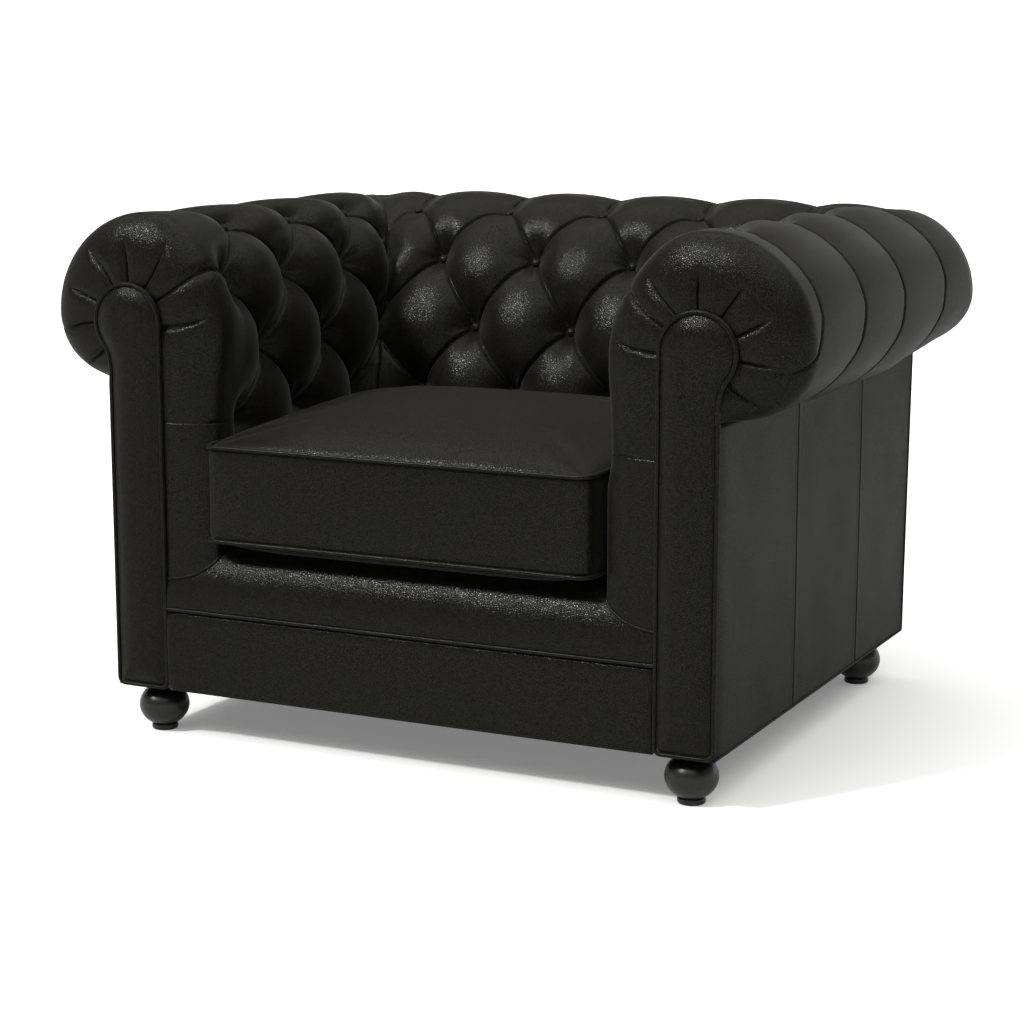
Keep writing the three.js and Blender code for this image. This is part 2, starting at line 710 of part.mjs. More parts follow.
// Along a pleat the facets fold on the pleat itself. place counts columns from a button of the top row.
function foldsDown(station, place) {
  if (station.row < 0 || station.row > LAST_ROW) return false;
  const steps = Math.round(station.row * ROWS_PER_PITCH);
  return (place + 1 - steps) % (2 * ROWS_PER_PITCH) === 0;
}

function armDiagonal(j, i) {
  const firstButton = FRONT_SHARES.length + 2 + ROWS_PER_PITCH;
  return foldsDown(STATIONS[j], i - firstButton);
}

function button(centre, normal) {
  const profile = [[0, -BUTTON_SINK], [BUTTON_RADIUS, -BUTTON_SINK], [BUTTON_RADIUS, BUTTON_RISE / 3],
    [BUTTON_RADIUS * 0.6, BUTTON_RISE], [0, BUTTON_RISE * 1.15]];
  const dome = new THREE.LatheGeometry(profile.map(([r, h]) => new THREE.Vector2(r, h)), 7);
  const turn = new THREE.Quaternion().setFromUnitVectors(new THREE.Vector3(0, 1, 0), normal);
  return dome.applyQuaternion(turn).translate(...centre);
}

function rowStation(row) {
  return innerStation(row);
}

function armButtons() {
  const made = [];
  for (let row = 0; row <= LAST_ROW; row += 1) {
    const station = rowStation(row);
    const [low, high] = [armProfile(station, 0), armProfile(station, 1)];
    const normal = new THREE.Vector3(high.x - low.x, 0, high.z - low.z).normalize();
    const end = backProfile(station, 0).y - ARM_BUTTON_PITCH / 4;
    const shift = row % 2 === 0 ? ARM_BUTTON_PITCH / 2 : 0;
    for (let y = ARM_FIRST_BUTTON + shift; y < end; y += ARM_BUTTON_PITCH) {
      made.push(button([low.x, y, low.z], normal));
    }
  }
  return made;
}

function armCover() {
  const outer = armRows(STATIONS, armColumns, armLevel, true);
  const inner = armRows(STATIONS, plainArmColumns, flat(-COVER_BACKING), false);
  return cutBy(joined([closedShell(outer, inner, armDiagonal), ...armButtons()]), [lipCutter()]);
}

function armLayer(outerLevel, thickness, stations, columns) {
  const outer = armRows(stations, columns, flat(outerLevel), false);
  const inner = armRows(stations, columns, flat(outerLevel - thickness), false);
  return closedShell(outer, inner);
}

const FOAM_LEVEL = -COVER_BACKING - GAP;
const FRAME_LEVEL = FOAM_LEVEL - FOAM_THICKNESS - FOAM_TO_FRAME;
const paddedStations = STATIONS.slice(1, -1);

addPair('arm_cover', armCover(), leather);
addPair('arm_foam', armLayer(FOAM_LEVEL, FOAM_THICKNESS, paddedStations, plainArmColumns), foam);

// Back cover, drawn for the whole width
const BACK_STEP = BACK_BUTTON_PITCH / 6;

function backPoint(station, column, levelAt, isBottom) {
  const side = Math.sign(column.side);
  const inside = station.outer === undefined;
  const edgeLevel = levelAt(station, Infinity);
  const end = inside ? cornerPoint(station, edgeLevel, 0.5)[0] : ROLL_AXIS_X;
  let point;
  if (inside && (column.corner !== undefined || Math.abs(column.x) > end - BACK_STEP / 3)) {
    const [cx, cy, cz] = cornerPoint(station, edgeLevel, 0.5);
    point = [side * (cx - MITRE_GAP), cy, cz];
  } else if (column.corner !== undefined) {
    const [cx, cy, cz] = cornerPoint(station, edgeLevel, 1 - column.corner);
    point = [side * (cx - MITRE_GAP), cy, cz];
  } else {
    const { y, z } = backProfile(station, levelAt(station, column.x));
    point = [column.x - (inside ? 0 : MITRE_GAP * (column.x / ROLL_AXIS_X)), y, z];
  }
  if (isBottom) point[2] = COVER_BOTTOM;
  return point;
}

function backLevel(station, x) {
  const padding = paddingAt(station);
  if (x === Infinity) return cornerLevel(padding, 0, station);
  const end = station.outer === undefined ? armProfile(station, 0).x : Infinity;
  const fullness = tuftFullness(x / BACK_BUTTON_PITCH, station.row, 0);
  return cornerLevel(padding * fullness, end - Math.abs(x), station);
}

function symmetric(columns) {
  const left = columns.filter((column) => column.x !== 0).reverse();
  const flipped = left.map((column) => ({ ...column, side: -1, x: column.x === undefined ? undefined : -column.x }));
  return [...flipped, ...columns];
}

const backHalf = [];
for (let x = 0; x < ROLL_AXIS_X - BACK_STEP / 2; x += BACK_STEP) backHalf.push({ side: 1, x });
backHalf.push({ side: 1, x: ROLL_AXIS_X }, ...CORNER_SHARES.map((corner) => ({ side: 1, corner })));
const backColumns = symmetric(backHalf);
const plainBackColumns = symmetric([{ side: 1, x: ROLL_AXIS_X }, { side: 1, corner: 1 / 4 }, { side: 1, corner: 1 / 2 }]);

function backRows(stations, columns, levelAt) {
  return stations.map((station) => columns.map(
    (column) => backPoint(station, column, levelAt, station === STATIONS[0]),
  ));
}

function backDiagonal(j, i) {
  return foldsDown(STATIONS[j], i - (backColumns.length - 1) / 2);
}

function backButtons() {
  const made = [];
  for (let row = 0; row <= LAST_ROW; row += 1) {
    const station = rowStation(row);
    const [low, high] = [backProfile(station, 0), backProfile(station, 1)];
    const normal = new THREE.Vector3(0, high.y - low.y, high.z - low.z).normalize();
    const shift = row % 2 === 0 ? 0 : 0.5;
    const most = Math.floor((armProfile(station, 0).x - BACK_BUTTON_PITCH / 6) / BACK_BUTTON_PITCH - shift);
    for (let k = -most - 2 * shift; k <= most; k += 1) {
      made.push(button([(k + shift) * BACK_BUTTON_PITCH, low.y, low.z], normal));
    }
  }
  return made;
}

function backCover() {
  const outer = backRows(STATIONS, backColumns, backLevel);
  const inner = backRows(STATIONS, plainBackColumns, flat(-COVER_BACKING));
  return joined([closedShell(outer, inner, backDiagonal), ...backButtons()]);
}

function backLayer(outerLevel, thickness, stations) {
  const outer = backRows(stations, plainBackColumns, flat(outerLevel));
  const inner = backRows(stations, plainBackColumns, flat(outerLevel - thickness));
  return closedShell(outer, inner);
}

add('back_cover', backCover(), leather);
add('back_foam', backLayer(FOAM_LEVEL, FOAM_THICKNESS, paddedStations), foam);

// Scroll facings with their boards and piping
function facingShape(inset, outerInset = inset) {
  const shape = new THREE.Shape();
  const bottom = BODY_BOTTOM + PIPING_RADIUS + inset;
  const radius = HEAD_RADIUS - inset;
  shape.moveTo(STEM_X + inset, bottom);
  shape.lineTo(STEM_X + inset, HEAD_Z);
  shape.absarc(HEAD_X, HEAD_Z, radius, Math.PI, NECK_LEAVE, true);
  const neck = neckCurve(outerInset);
  shape.quadraticCurveTo(neck.v1.x, neck.v1.y, neck.v2.x, neck.v2.y);
  shape.lineTo(BODY_HALF - outerInset, bottom);
  shape.closePath();
  return shape;
}

// A cord laid round a closed outline or along an open line, in the plane of its points
function cord(points, radius, sides, closed, across) {
  const skin = new Skin();
  const count = points.length;
  const rings = points.map((point, k) => {
    const before = points[closed ? (k + count - 1) % count : Math.max(k - 1, 0)];
    const after = points[closed ? (k + 1) % count : Math.min(k + 1, count - 1)];
    const along = after.clone().sub(before).normalize();
    const side = new THREE.Vector3().crossVectors(along, across).normalize();
    const up = new THREE.Vector3().crossVectors(side, along);
    const ring = [];
    for (let i = 0; i < sides; i += 1) {
      const angle = ((i + 0.5) / sides) * 2 * Math.PI;
      const place = point.clone()
        .addScaledVector(side, radius * Math.cos(angle))
        .addScaledVector(up, radius * Math.sin(angle));
      ring.push(place.toArray());
    }
    ring.push(ring[0]);
    return ring;
  });
  skin.grid(closed ? [...rings, rings[0]] : rings);
  if (!closed) {
    for (let i = 1; i < sides - 1; i += 1) {
      skin.triangle(rings[0][0], rings[0][i + 1], rings[0][i]);
      skin.triangle(rings.at(-1)[0], rings.at(-1)[i], rings.at(-1)[i + 1]);
    }
  }
  return skin.geometry();
}

function facingPiping() {
  const outline = facingShape(0).getPoints(9);
  outline.pop();
  const points = outline.map((p) => new THREE.Vector3(p.x, 0, p.y));
  const distinct = points.filter((p, k) => k === 0 || p.distanceTo(points[k - 1]) > GAP);
  return cord(distinct, PIPING_RADIUS, 6, true, new THREE.Vector3(0, 1, 0));
}

function facingPad() {
  const inset = PIPING_RADIUS + GAP;
  const bevel = {
    depth: LEATHER / 2,
    bevelEnabled: true,
    bevelThickness: FACING_DOME,
    bevelSize: 2 * FACING_DOME,
    bevelOffset: -2 * FACING_DOME,
    bevelSegments: 3,
    curveSegments: 9,
  };
  const pad = new THREE.ExtrudeGeometry(facingShape(inset), bevel).rotateX(Math.PI / 2);
  const back = block(
    [STEM_X - HEAD_RADIUS, BODY_HALF + HEAD_RADIUS],
    [-GAP, FACING_DOME + LEATHER + CUT_OVERRUN],
    [0, ROLL_TOP],
  );
  return cutBy(pad.translate(0, 0, 0), [back]);
}

addPair('facing', facingPad(), leather);
addPair('facing_board', prismAlongY(facingShape(PIPING_RADIUS + GAP), [0, FACING_BOARD]), frameWood);
addPair('facing_piping', facingPiping(), leather);

// Outside arm panels: three lengths of leather sewn edge to edge, with the rear edge on the leaning back
const SIDE_SEAM_SHARES = [0.37, 0.71];
const SEAM_DIP = 2;
const SEAM_HALF = 6;

function backLine(z) {
  return BODY_DEPTH + (BACK_LEAN * (z - BODY_BOTTOM)) / (ROLL_UNDERSIDE - BODY_BOTTOM);
}

function loft(lower, upper) {
  const skin = new Skin();
  skin.grid([[...lower, lower[0]], [...upper, upper[0]]]);
  const contour = lower.map(([x, y]) => new THREE.Vector2(x, y));
  THREE.ShapeUtils.triangulateShape(contour, []).forEach(([a, b, c]) => {
    skin.triangle(lower[a], lower[c], lower[b]);
    skin.triangle(upper[a], upper[b], upper[c]);
  });
  return skin.geometry();
}

function outsideArm() {
  const [front, bottom, top] = [FRONT_FACE_Y, BODY_BOTTOM + GAP, ROLL_UNDERSIDE - GAP];
  const outlineAt = (z) => {
    const rear = backLine(z) - LEATHER - GAP;
    const seams = SIDE_SEAM_SHARES.map((share) => share * BODY_DEPTH);
    const outer = seams.flatMap((y) => [
      [PANEL_X, y - SEAM_HALF, z], [PANEL_X - SEAM_DIP, y, z], [PANEL_X, y + SEAM_HALF, z],
    ]);
    return [[PANEL_X - LEATHER, front, z], [PANEL_X, front, z], ...outer, [PANEL_X, rear, z],
      [PANEL_X - LEATHER, rear, z]];
  };
  return loft(outlineAt(bottom), outlineAt(top));
}

function outsideBack() {
  const [bottom, top] = [BODY_BOTTOM + GAP, ROLL_UNDERSIDE - GAP];
  const outline = polygon([
    [backLine(bottom) - LEATHER, bottom], [backLine(bottom), bottom],
    [backLine(top), top], [backLine(top) - LEATHER, top],
  ]);
  return prismAlongX(outline, [-PANEL_X, PANEL_X]);
}

addPair('outside_arm', outsideArm(), leather);
add('outside_back', outsideBack(), leather);

// Front border, its piping, and the rolled lip above it
const BORDER_HALF = STEM_X - PIPING_RADIUS - GAP;

function alongBorder(y, z) {
  return [-BORDER_HALF, BORDER_HALF].map((x) => new THREE.Vector3(x, y, z));
}

const pipingZ = LIP_Z - PIPING_RADIUS - GAP;
const borderTop = pipingZ - PIPING_RADIUS - GAP;
add('front_border', block([-BORDER_HALF, BORDER_HALF], [0, LEATHER], [BODY_BOTTOM + GAP, borderTop]), leather);
add('border_piping', cord(alongBorder(0, pipingZ), PIPING_RADIUS, 8, false, new THREE.Vector3(0, 0, 1)), leather);

// Points on the lip's round, offset inwards by a depth
function lipRound(depth, steps = 6) {
  const points = [];
  for (let k = 0; k <= steps; k += 1) {
    const angle = (k / steps) * (Math.PI / 2);
    const y = LIP_ROUND - (LIP_ROUND + LIP_BULGE - depth) * Math.cos(angle);
    points.push([y, LIP_Z + (LIP_RISE - depth) * Math.sin(angle)]);
  }
  return points;
}

// The arm covers come down beside the deck, so the deck's layers are cut back under them
function underArms(geometry) {
  const inner = ARM_FACE_X - TUFT_DEPTH - 2 * GAP;
  const cutter = (side) => block(
    side > 0 ? [inner, BODY_HALF] : [-BODY_HALF, -inner],
    [-CUT_OVERRUN - LIP_BULGE, DECK_END + CUT_OVERRUN],
    [COVER_BOTTOM - GAP, LIP_TOP + CUT_OVERRUN],
  );
  return cutBy(geometry, [cutter(1), cutter(-1)]);
}

function lipCover() {
  const outer = [...lipRound(0), [LIP_TUCK, LIP_TOP]];
  const inner = [...lipRound(LIP_LEATHER), [LIP_TUCK, LIP_TOP - LIP_LEATHER]].reverse();
  return underArms(prismAlongX(polygon([...outer, ...inner]), [-BORDER_HALF, BORDER_HALF]));
}

function deckPad() {
  const depth = LIP_LEATHER + GAP;
  const round = lipRound(depth).filter(([, z]) => z > INSULATOR_Z + INSULATOR + GAP);
  const front = round[0][0];
  const outline = [
    [front, INSULATOR_Z + INSULATOR + GAP], ...round,
    [LIP_TUCK + GAP, LIP_TOP - depth], [LIP_TUCK + GAP, LIP_TOP - GAP],
    [DECK_END, LIP_TOP - GAP], [DECK_END, INSULATOR_Z + INSULATOR + GAP],
  ];
  return underArms(prismAlongX(polygon(outline), [-BORDER_HALF, BORDER_HALF]));
}

const platformHalf = ARM_FACE_X - TUFT_DEPTH - 3 * GAP;
const platformBack = BACK_FOOT_Y - TUFT_DEPTH - GAP;

add('lip_cover', lipCover(), leather);
add('deck_pad', cutBy(deckPad(), [block(
  [-BODY_HALF, BODY_HALF],
  [platformBack + GAP, DECK_END + CUT_OVERRUN],
  [COVER_BOTTOM - GAP, LIP_TOP + CUT_OVERRUN],
)]), foam);
add('platform_cloth', block(
  [-platformHalf, platformHalf],
  [LIP_ROUND, platformBack],
  [LIP_TOP + GAP / 2, SEAT_HEIGHT],
), cloth);
add('insulator', block(
  [-BORDER_HALF, BORDER_HALF],
  [POST_THICKNESS + FRONT_FACE_Y, DECK_END],
  [INSULATOR_Z, INSULATOR_Z + INSULATOR],
), hessian);

// Timber frame
const postY = [FRONT_FACE_Y, FRONT_FACE_Y + POST_THICKNESS];
const postInnerX = STEM_X + POST_INSET;
const postOuterX = BODY_HALF - POST_OUTER_INSET;
const sideRailX = [PANEL_X - LEATHER - GAP - RAIL_THICKNESS, PANEL_X - LEATHER - GAP];
const backRailY = [BODY_DEPTH - LEATHER - GAP - RAIL_THICKNESS, BODY_DEPTH - LEATHER - GAP];
const railZ = [RAIL_BOTTOM, RAIL_TOP];

function springPlaces() {
  const outermost = ARM_FACE_X - SPRING_TO_ARM;
  return Array.from({ length: SPRING_COUNT }, (_, k) => mix(-outermost, outermost, k / (SPRING_COUNT - 1)));
}

// A rail with a clip for each spring standing on its top edge
function railWithClips(rail, clipY) {
  const clips = springPlaces().map((x) => block(
    [x - CLIP.width / 2, x + CLIP.width / 2],
    [clipY - CLIP.depth / 2, clipY + CLIP.depth / 2],
    [RAIL_TOP - CUT_OVERRUN, RAIL_TOP + CLIP.height],
  ));
  return joined([rail, ...clips]);
}

const frontRailY = [LEATHER + GAP, LEATHER + GAP + RAIL_THICKNESS];
const frontClipY = (frontRailY[0] + frontRailY[1]) / 2;
const backClipY = (backRailY[0] + backRailY[1]) / 2;

add('front_rail', railWithClips(
  block([-postInnerX + GAP, postInnerX - GAP], frontRailY, railZ),
  frontClipY,
), frameWood);
add('back_rail', railWithClips(
  block([-sideRailX[0] + GAP, sideRailX[0] - GAP], backRailY, railZ),
  backClipY,
), frameWood);
addPair('side_rail', block(sideRailX, [postY[1] + GAP, backRailY[1]], railZ), frameWood);
addPair('front_post', cutBy(
  prismAlongY(facingShape(POST_INSET, POST_OUTER_INSET), postY, 7),
  [block([STEM_X, BODY_HALF], [0, postY[1] + CUT_OVERRUN], [BODY_BOTTOM, RAIL_BOTTOM])],
), frameWood);

// Back posts and top rail follow the lean of the outside back
function leaning(depth, [z0, z1]) {
  const rear = (z) => backLine(z) - LEATHER - GAP;
  return polygon([[rear(z0) - depth, z0], [rear(z0), z0], [rear(z1), z1], [rear(z1) - depth, z1]]);
}

const topRailZ = [ROLL_UNDERSIDE, ROLL_UNDERSIDE + TOP_RAIL.height];
const backPostX = [postOuterX - BACK_POST_WIDTH, postOuterX];
const backTopRailZ = [topRailZ[1] - BACK_TOP_RAIL_HEIGHT, topRailZ[1]];
addPair('back_post', prismAlongX(leaning(POST_THICKNESS, [RAIL_TOP + GAP, topRailZ[1]]), backPostX), frameWood);
add('back_top_rail', prismAlongX(
  leaning(RAIL_THICKNESS, backTopRailZ),
  [-backPostX[0] + GAP, backPostX[0] - GAP],
), frameWood);
add('back_upright', prismAlongX(
  leaning(RAIL_THICKNESS, [RAIL_TOP + GAP, backTopRailZ[0] - GAP]),
  [-UPRIGHT_WIDTH / 2, UPRIGHT_WIDTH / 2],
), frameWood);

const backPostFront = backLine(RAIL_TOP) - LEATHER - GAP - POST_THICKNESS;
addPair('arm_top_rail', block(
  [postOuterX - TOP_RAIL.width, postOuterX],
  [postY[1] + GAP, backPostFront - GAP + (BACK_LEAN * (topRailZ[0] - RAIL_TOP)) / (ROLL_UNDERSIDE - BODY_BOTTOM)],
  topRailZ,
), frameWood);

// Tack rails carry the foot of the arm and back covers
const armTackX = [ARM_FACE_X - FRAME_LEVEL, ARM_FACE_X - FRAME_LEVEL + TACK_RAIL.thickness];
const tackZ = [INSULATOR_Z + INSULATOR, INSULATOR_Z + INSULATOR + TACK_RAIL.height];
const backTackFront = BACK_FOOT_Y - FRAME_LEVEL;
addPair('arm_tack_rail', block(armTackX, [postY[1] + GAP, backPostFront - GAP], tackZ), frameWood);
add('back_tack_rail', block(
  [-armTackX[0] + GAP, armTackX[0] - GAP],
  [backTackFront, backTackFront + TACK_RAIL.thickness],
  tackZ,
), frameWood);

// Corner blocks, drilled for the foot bolts
function cornerBlock(front) {
  const x = sideRailX[0] - GAP;
  const y = front ? postY[1] + GAP : backRailY[0] - GAP;
  const into = front ? 1 : -1;
  const shape = new THREE.Shape();
  shape.moveTo(x, y);
  shape.lineTo(x, y + into * BLOCK.leg * 1.4);
  shape.lineTo(x - BLOCK.leg * 0.45, y + into * BLOCK.leg * 1.4);
  shape.lineTo(x - BLOCK.leg, y + into * BLOCK.leg * 0.6);
  shape.lineTo(x - BLOCK.leg, y);
  shape.closePath();
  const prism = new THREE.ExtrudeGeometry(shape, { depth: BLOCK.height, bevelEnabled: false });
  prism.translate(0, 0, RAIL_BOTTOM);
  const hole = new THREE.CylinderGeometry(BOLT_RADIUS + GAP, BOLT_RADIUS + GAP, 2 * BOLT_IN_BLOCK, 8);
  hole.rotateX(Math.PI / 2).translate(FOOT_X, front ? FRONT_FOOT_Y : BACK_FOOT_PLACE_Y, RAIL_BOTTOM);
  return cutBy(prism, [hole]);
}

addPair('front_corner_block', cornerBlock(true), frameWood);
addPair('back_corner_block', cornerBlock(false), frameWood);

// Sinuous springs from the front rail to the back rail
function spring(x) {
  const [start, end] = [frontClipY, backClipY];
  const stepsPerLoop = 4;
  const steps = SPRING_LOOPS * stepsPerLoop;
  const points = [];
  for (let k = 0; k <= steps; k += 1) {
    const share = k / steps;
    const swing = Math.sin(share * SPRING_LOOPS * Math.PI);
    const rounded = Math.sign(swing) * Math.abs(swing) ** 0.7;
    points.push(new THREE.Vector3(
      x + SPRING_HALF_WIDTH * rounded,
      mix(start, end, share),
      SPRING_SEAT_Z + SPRING_ARCH * Math.sin(share * Math.PI),
    ));
  }
  return cord(points, SPRING_WIRE, SPRING_SIDES, false, new THREE.Vector3(0, 0, 1));
}

springPlaces().forEach((x, k) => add(`seat_spring_${k + 1}`, spring(x), steel));

// Seat cushion: nested rounded outlines give the crowned top, the drawn-in boxing and the bottom
function cushionLoop(scaleShare, inset, straight) {
  const half = CUSHION_HALF - inset;
  const [front, back] = [CUSHION_FRONT + inset, CUSHION_BACK - inset];
  const corner = Math.max(CUSHION_CORNER - inset, CUSHION_CORNER / 4);
  const loop = [];
  const centres = [
    [half - corner, front + corner], [half - corner, back - corner],
    [corner - half, back - corner], [corner - half, front + corner],
  ];
  const roundedCorner = (quarter, share) => {
    const angle = (quarter - 1 + share) * (Math.PI / 2);
    const [x, y] = centres[quarter % centres.length];
    return [x + corner * Math.cos(angle), y + corner * Math.sin(angle)];
  };
  centres.forEach((_, quarter) => {
    for (let step = 0; step <= CORNER_STEPS; step += 1) loop.push(roundedCorner(quarter, step / CORNER_STEPS));
    const [last, next] = [loop.at(-1), roundedCorner(quarter + 1, 0)];
    for (let step = 1; step < straight; step += 1) {
      loop.push([mix(last[0], next[0], step / straight), mix(last[1], next[1], step / straight)]);
    }
  });
  const middle = (front + back) / 2;
  return loop.map(([x, y]) => [x * scaleShare, middle + (y - middle) * scaleShare]);
}

function bulge(x, y, squareness) {
  const middle = (CUSHION_FRONT + CUSHION_BACK) / 2;
  const across = Math.min(Math.abs(x / CUSHION_HALF), 1);
  const along = Math.min(Math.abs((y - middle) / (CUSHION_BACK - middle)), 1);
  return Math.sqrt((1 - across ** squareness) * (1 - along ** squareness));
}

function cushionEdgeTop(y) {
  return CUSHION_TOP + (CUSHION_BACK_RISE * (y - CUSHION_FRONT)) / (CUSHION_BACK - CUSHION_FRONT);
}

const CORNER_STEPS = 3;
const CROWN_RING_SHARES = [0, 0.3, 0.56, 0.78, 0.92];
const TOP_SQUARENESS = 4;
const BOTTOM_SQUARENESS = 8;
const CUSHION_SIDE_STEPS = 7;
const CORE_RING_SHARES = [0, 0.56, 0.85];
const CORE_SIDE_STEPS = 4;

function cushionBody(inset, notch, ringShares, sideSteps) {
  const bottomCrown = CUSHION_BOTTOM - SEAT_HEIGHT - GAP;
  const top = (x, y) => cushionEdgeTop(y) - inset + CUSHION_CROWN * bulge(x, y, TOP_SQUARENESS);
  const bottom = (x, y) => CUSHION_BOTTOM + inset - bottomCrown * bulge(x, y, BOTTOM_SQUARENESS);
  const lift = (points, height) => points.map(([x, y]) => [x, y, height(x, y)]);
  const edge = inset + notch;
  const loop = (share, drawnIn) => cushionLoop(share, drawnIn, sideSteps);
  const rings = [
    ...ringShares.map((share) => lift(loop(share, edge), bottom)),
    lift(loop(1, edge), () => CUSHION_BOTTOM + inset),
    lift(loop(1, inset), () => CUSHION_BOTTOM + inset + notch),
    lift(loop(1, inset + CUSHION_DRAW_IN), (x, y) => (cushionEdgeTop(y) + CUSHION_BOTTOM) / 2),
    lift(loop(1, inset), (x, y) => cushionEdgeTop(y) - inset - notch),
    lift(loop(1, edge), (x, y) => cushionEdgeTop(y) - inset),
    ...[...ringShares].reverse().map((share) => lift(loop(share, edge), top)),
  ];
  const skin = new Skin();
  skin.grid(rings.map((ring) => [...ring, ring[0]]));
  return skin.geometry();
}

const zipZ = (cushionEdgeTop(CUSHION_BACK) + CUSHION_BOTTOM) / 2;
const zipFace = CUSHION_BACK - CUSHION_DRAW_IN;

function cushionCover() {
  const slot = block(
    [-ZIP_LENGTH / 2 - GAP, ZIP_LENGTH / 2 + GAP],
    [zipFace - 2 * CUSHION_WALL, CUSHION_BACK + CUT_OVERRUN],
    [zipZ - ZIP_WIDTH / 2 - GAP, zipZ + ZIP_WIDTH / 2 + GAP],
  );
  const outside = cushionBody(0, PIPING_NOTCH, CROWN_RING_SHARES, CUSHION_SIDE_STEPS);
  const inside = cushionBody(CUSHION_WALL, PIPING_NOTCH, CORE_RING_SHARES, CORE_SIDE_STEPS);
  return cutBy(outside, [inside, slot]);
}

function cushionPiping(height) {
  const points = cushionLoop(1, 0, CUSHION_SIDE_STEPS).map(([x, y]) => new THREE.Vector3(x, y, height(y)));
  return cord(points, PIPING_RADIUS, 6, true, new THREE.Vector3(0, 0, 1));
}

function cushionZip() {
  const tape = block(
    [-ZIP_LENGTH / 2, ZIP_LENGTH / 2],
    [zipFace - ZIP_TAPE - GAP, zipFace - GAP],
    [zipZ - ZIP_WIDTH / 2, zipZ + ZIP_WIDTH / 2],
  );
  const teeth = block(
    [-ZIP_LENGTH / 2 + ZIP_WIDTH / 2, ZIP_LENGTH / 2 - ZIP_WIDTH / 2],
    [zipFace - ZIP_TAPE, zipFace - GAP + ZIP_TEETH_PROUD],
    [zipZ - ZIP_TEETH_WIDTH / 2, zipZ + ZIP_TEETH_WIDTH / 2],
  );
  return joined([tape, teeth]);
}

// The slider starts at the closed end, with its pull hanging down
function zipSlider() {
  const x = ZIP_LENGTH / 2 - ZIP_WIDTH;
  const y = zipFace - GAP + ZIP_TEETH_PROUD + GAP;
  const body = block(
    [x - ZIP_SLIDER.length / 2, x + ZIP_SLIDER.length / 2],
    [y, y + ZIP_SLIDER.thickness],
    [zipZ - ZIP_SLIDER.width / 2, zipZ + ZIP_SLIDER.width / 2],
  );
  const pull = block(
    [x - ZIP_PULL.width / 2, x + ZIP_PULL.width / 2],
    [y + ZIP_PULL.proud, y + ZIP_PULL.proud + ZIP_PULL.thickness],
    [zipZ - ZIP_PULL.length, zipZ],
  );
  return joined([body, pull]);
}

add('cushion_cover', cushionCover(), leather);
add('cushion_core', cushionBody(CUSHION_WALL + GAP, PIPING_NOTCH, CORE_RING_SHARES, CORE_SIDE_STEPS), foam);
add('cushion_piping_top', cushionPiping(cushionEdgeTop), leather);
add('cushion_piping_bottom', cushionPiping(() => CUSHION_BOTTOM), leather);
add('cushion_zip', cushionZip(), cloth);
add('zip_slider', zipSlider(), zinc);

// Underside cloth, with holes for the foot bolts
function dustCover() {
  const outline = polygon([
    [-sideRailX[1], LEATHER + GAP], [sideRailX[1], LEATHER + GAP],
    [sideRailX[1], backRailY[1]], [-sideRailX[1], backRailY[1]],
  ]);
  [-FOOT_X, FOOT_X].forEach((x) => [FRONT_FOOT_Y, BACK_FOOT_PLACE_Y].forEach((y) => {
    const hole = new THREE.Path();
    hole.absarc(x, y, BOLT_RADIUS + GAP, 0, 2 * Math.PI, true);
    outline.holes.push(hole);
  }));
  const sheet = new THREE.ExtrudeGeometry(outline, { depth: DUST_COVER, bevelEnabled: false, curveSegments: 8 });
  return sheet.translate(0, 0, RAIL_BOTTOM - GAP - DUST_COVER);
}

add('dust_cover', dustCover(), cloth);

// Turned bun feet, bored for their bolts
const FOOT_TOP = RAIL_BOTTOM - GAP - DUST_COVER - GAP;

function foot() {
  const bun = FOOT_TOP - FOOT_COLLAR_HEIGHT - FOOT_BASE_RING;
  const outline = [[0, 0], [FOOT_BASE_RADIUS, 0], [FOOT_BASE_RADIUS + FOOT_BASE_SWELL, FOOT_BASE_RING * 0.7],
    [FOOT_BASE_RADIUS, FOOT_BASE_RING]];
  const steps = 7;
  const end = Math.PI / 3;
  for (let k = 1; k < steps; k += 1) {
    const angle = mix(-end, end, k / steps);
    const rise = (Math.sin(angle) / Math.sin(end) + 1) / 2;
    outline.push([FOOT_RADIUS * Math.cos(angle), FOOT_BASE_RING + bun * rise]);
  }
  outline.push([FOOT_COLLAR_RADIUS, FOOT_TOP - FOOT_COLLAR_HEIGHT], [FOOT_COLLAR_RADIUS, FOOT_TOP]);
  outline.push([BOLT_RADIUS + GAP, FOOT_TOP], [BOLT_RADIUS + GAP, FOOT_TOP - BOLT_IN_FOOT]);
  outline.push([0, FOOT_TOP - BOLT_IN_FOOT]);
  const turned = new THREE.LatheGeometry(outline.map(([r, h]) => new THREE.Vector2(r, h)), 16);
  return facingOut(cleaned(turned.rotateX(Math.PI / 2)));
}

function footBolt() {
  const [bottom, top] = [FOOT_TOP - BOLT_IN_FOOT + GAP, RAIL_BOTTOM + BOLT_IN_BLOCK - GAP];
  const bolt = new THREE.CylinderGeometry(BOLT_RADIUS, BOLT_RADIUS, top - bottom, 8);
  return bolt.rotateX(Math.PI / 2).translate(0, 0, (top + bottom) / 2);
}

const footPlaces = [['front', FRONT_FOOT_Y], ['back', BACK_FOOT_PLACE_Y]];
footPlaces.forEach(([end, y]) => {
  addPair(`${end}_foot`, foot().translate(FOOT_X, y, 0), turnedWood);
  addPair(`${end}_foot_bolt`, cleaned(footBolt()).translate(FOOT_X, y, 0), steel);
});

export default chair;
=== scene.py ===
# Chesterfield armchair: fine leather covers, cushion, piping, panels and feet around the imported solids.
# Shapes are worked out in millimetres from the facing plane (y = 0, growing towards the back), with x = 0
# in the middle and z = 0 on the floor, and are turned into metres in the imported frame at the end.
import math

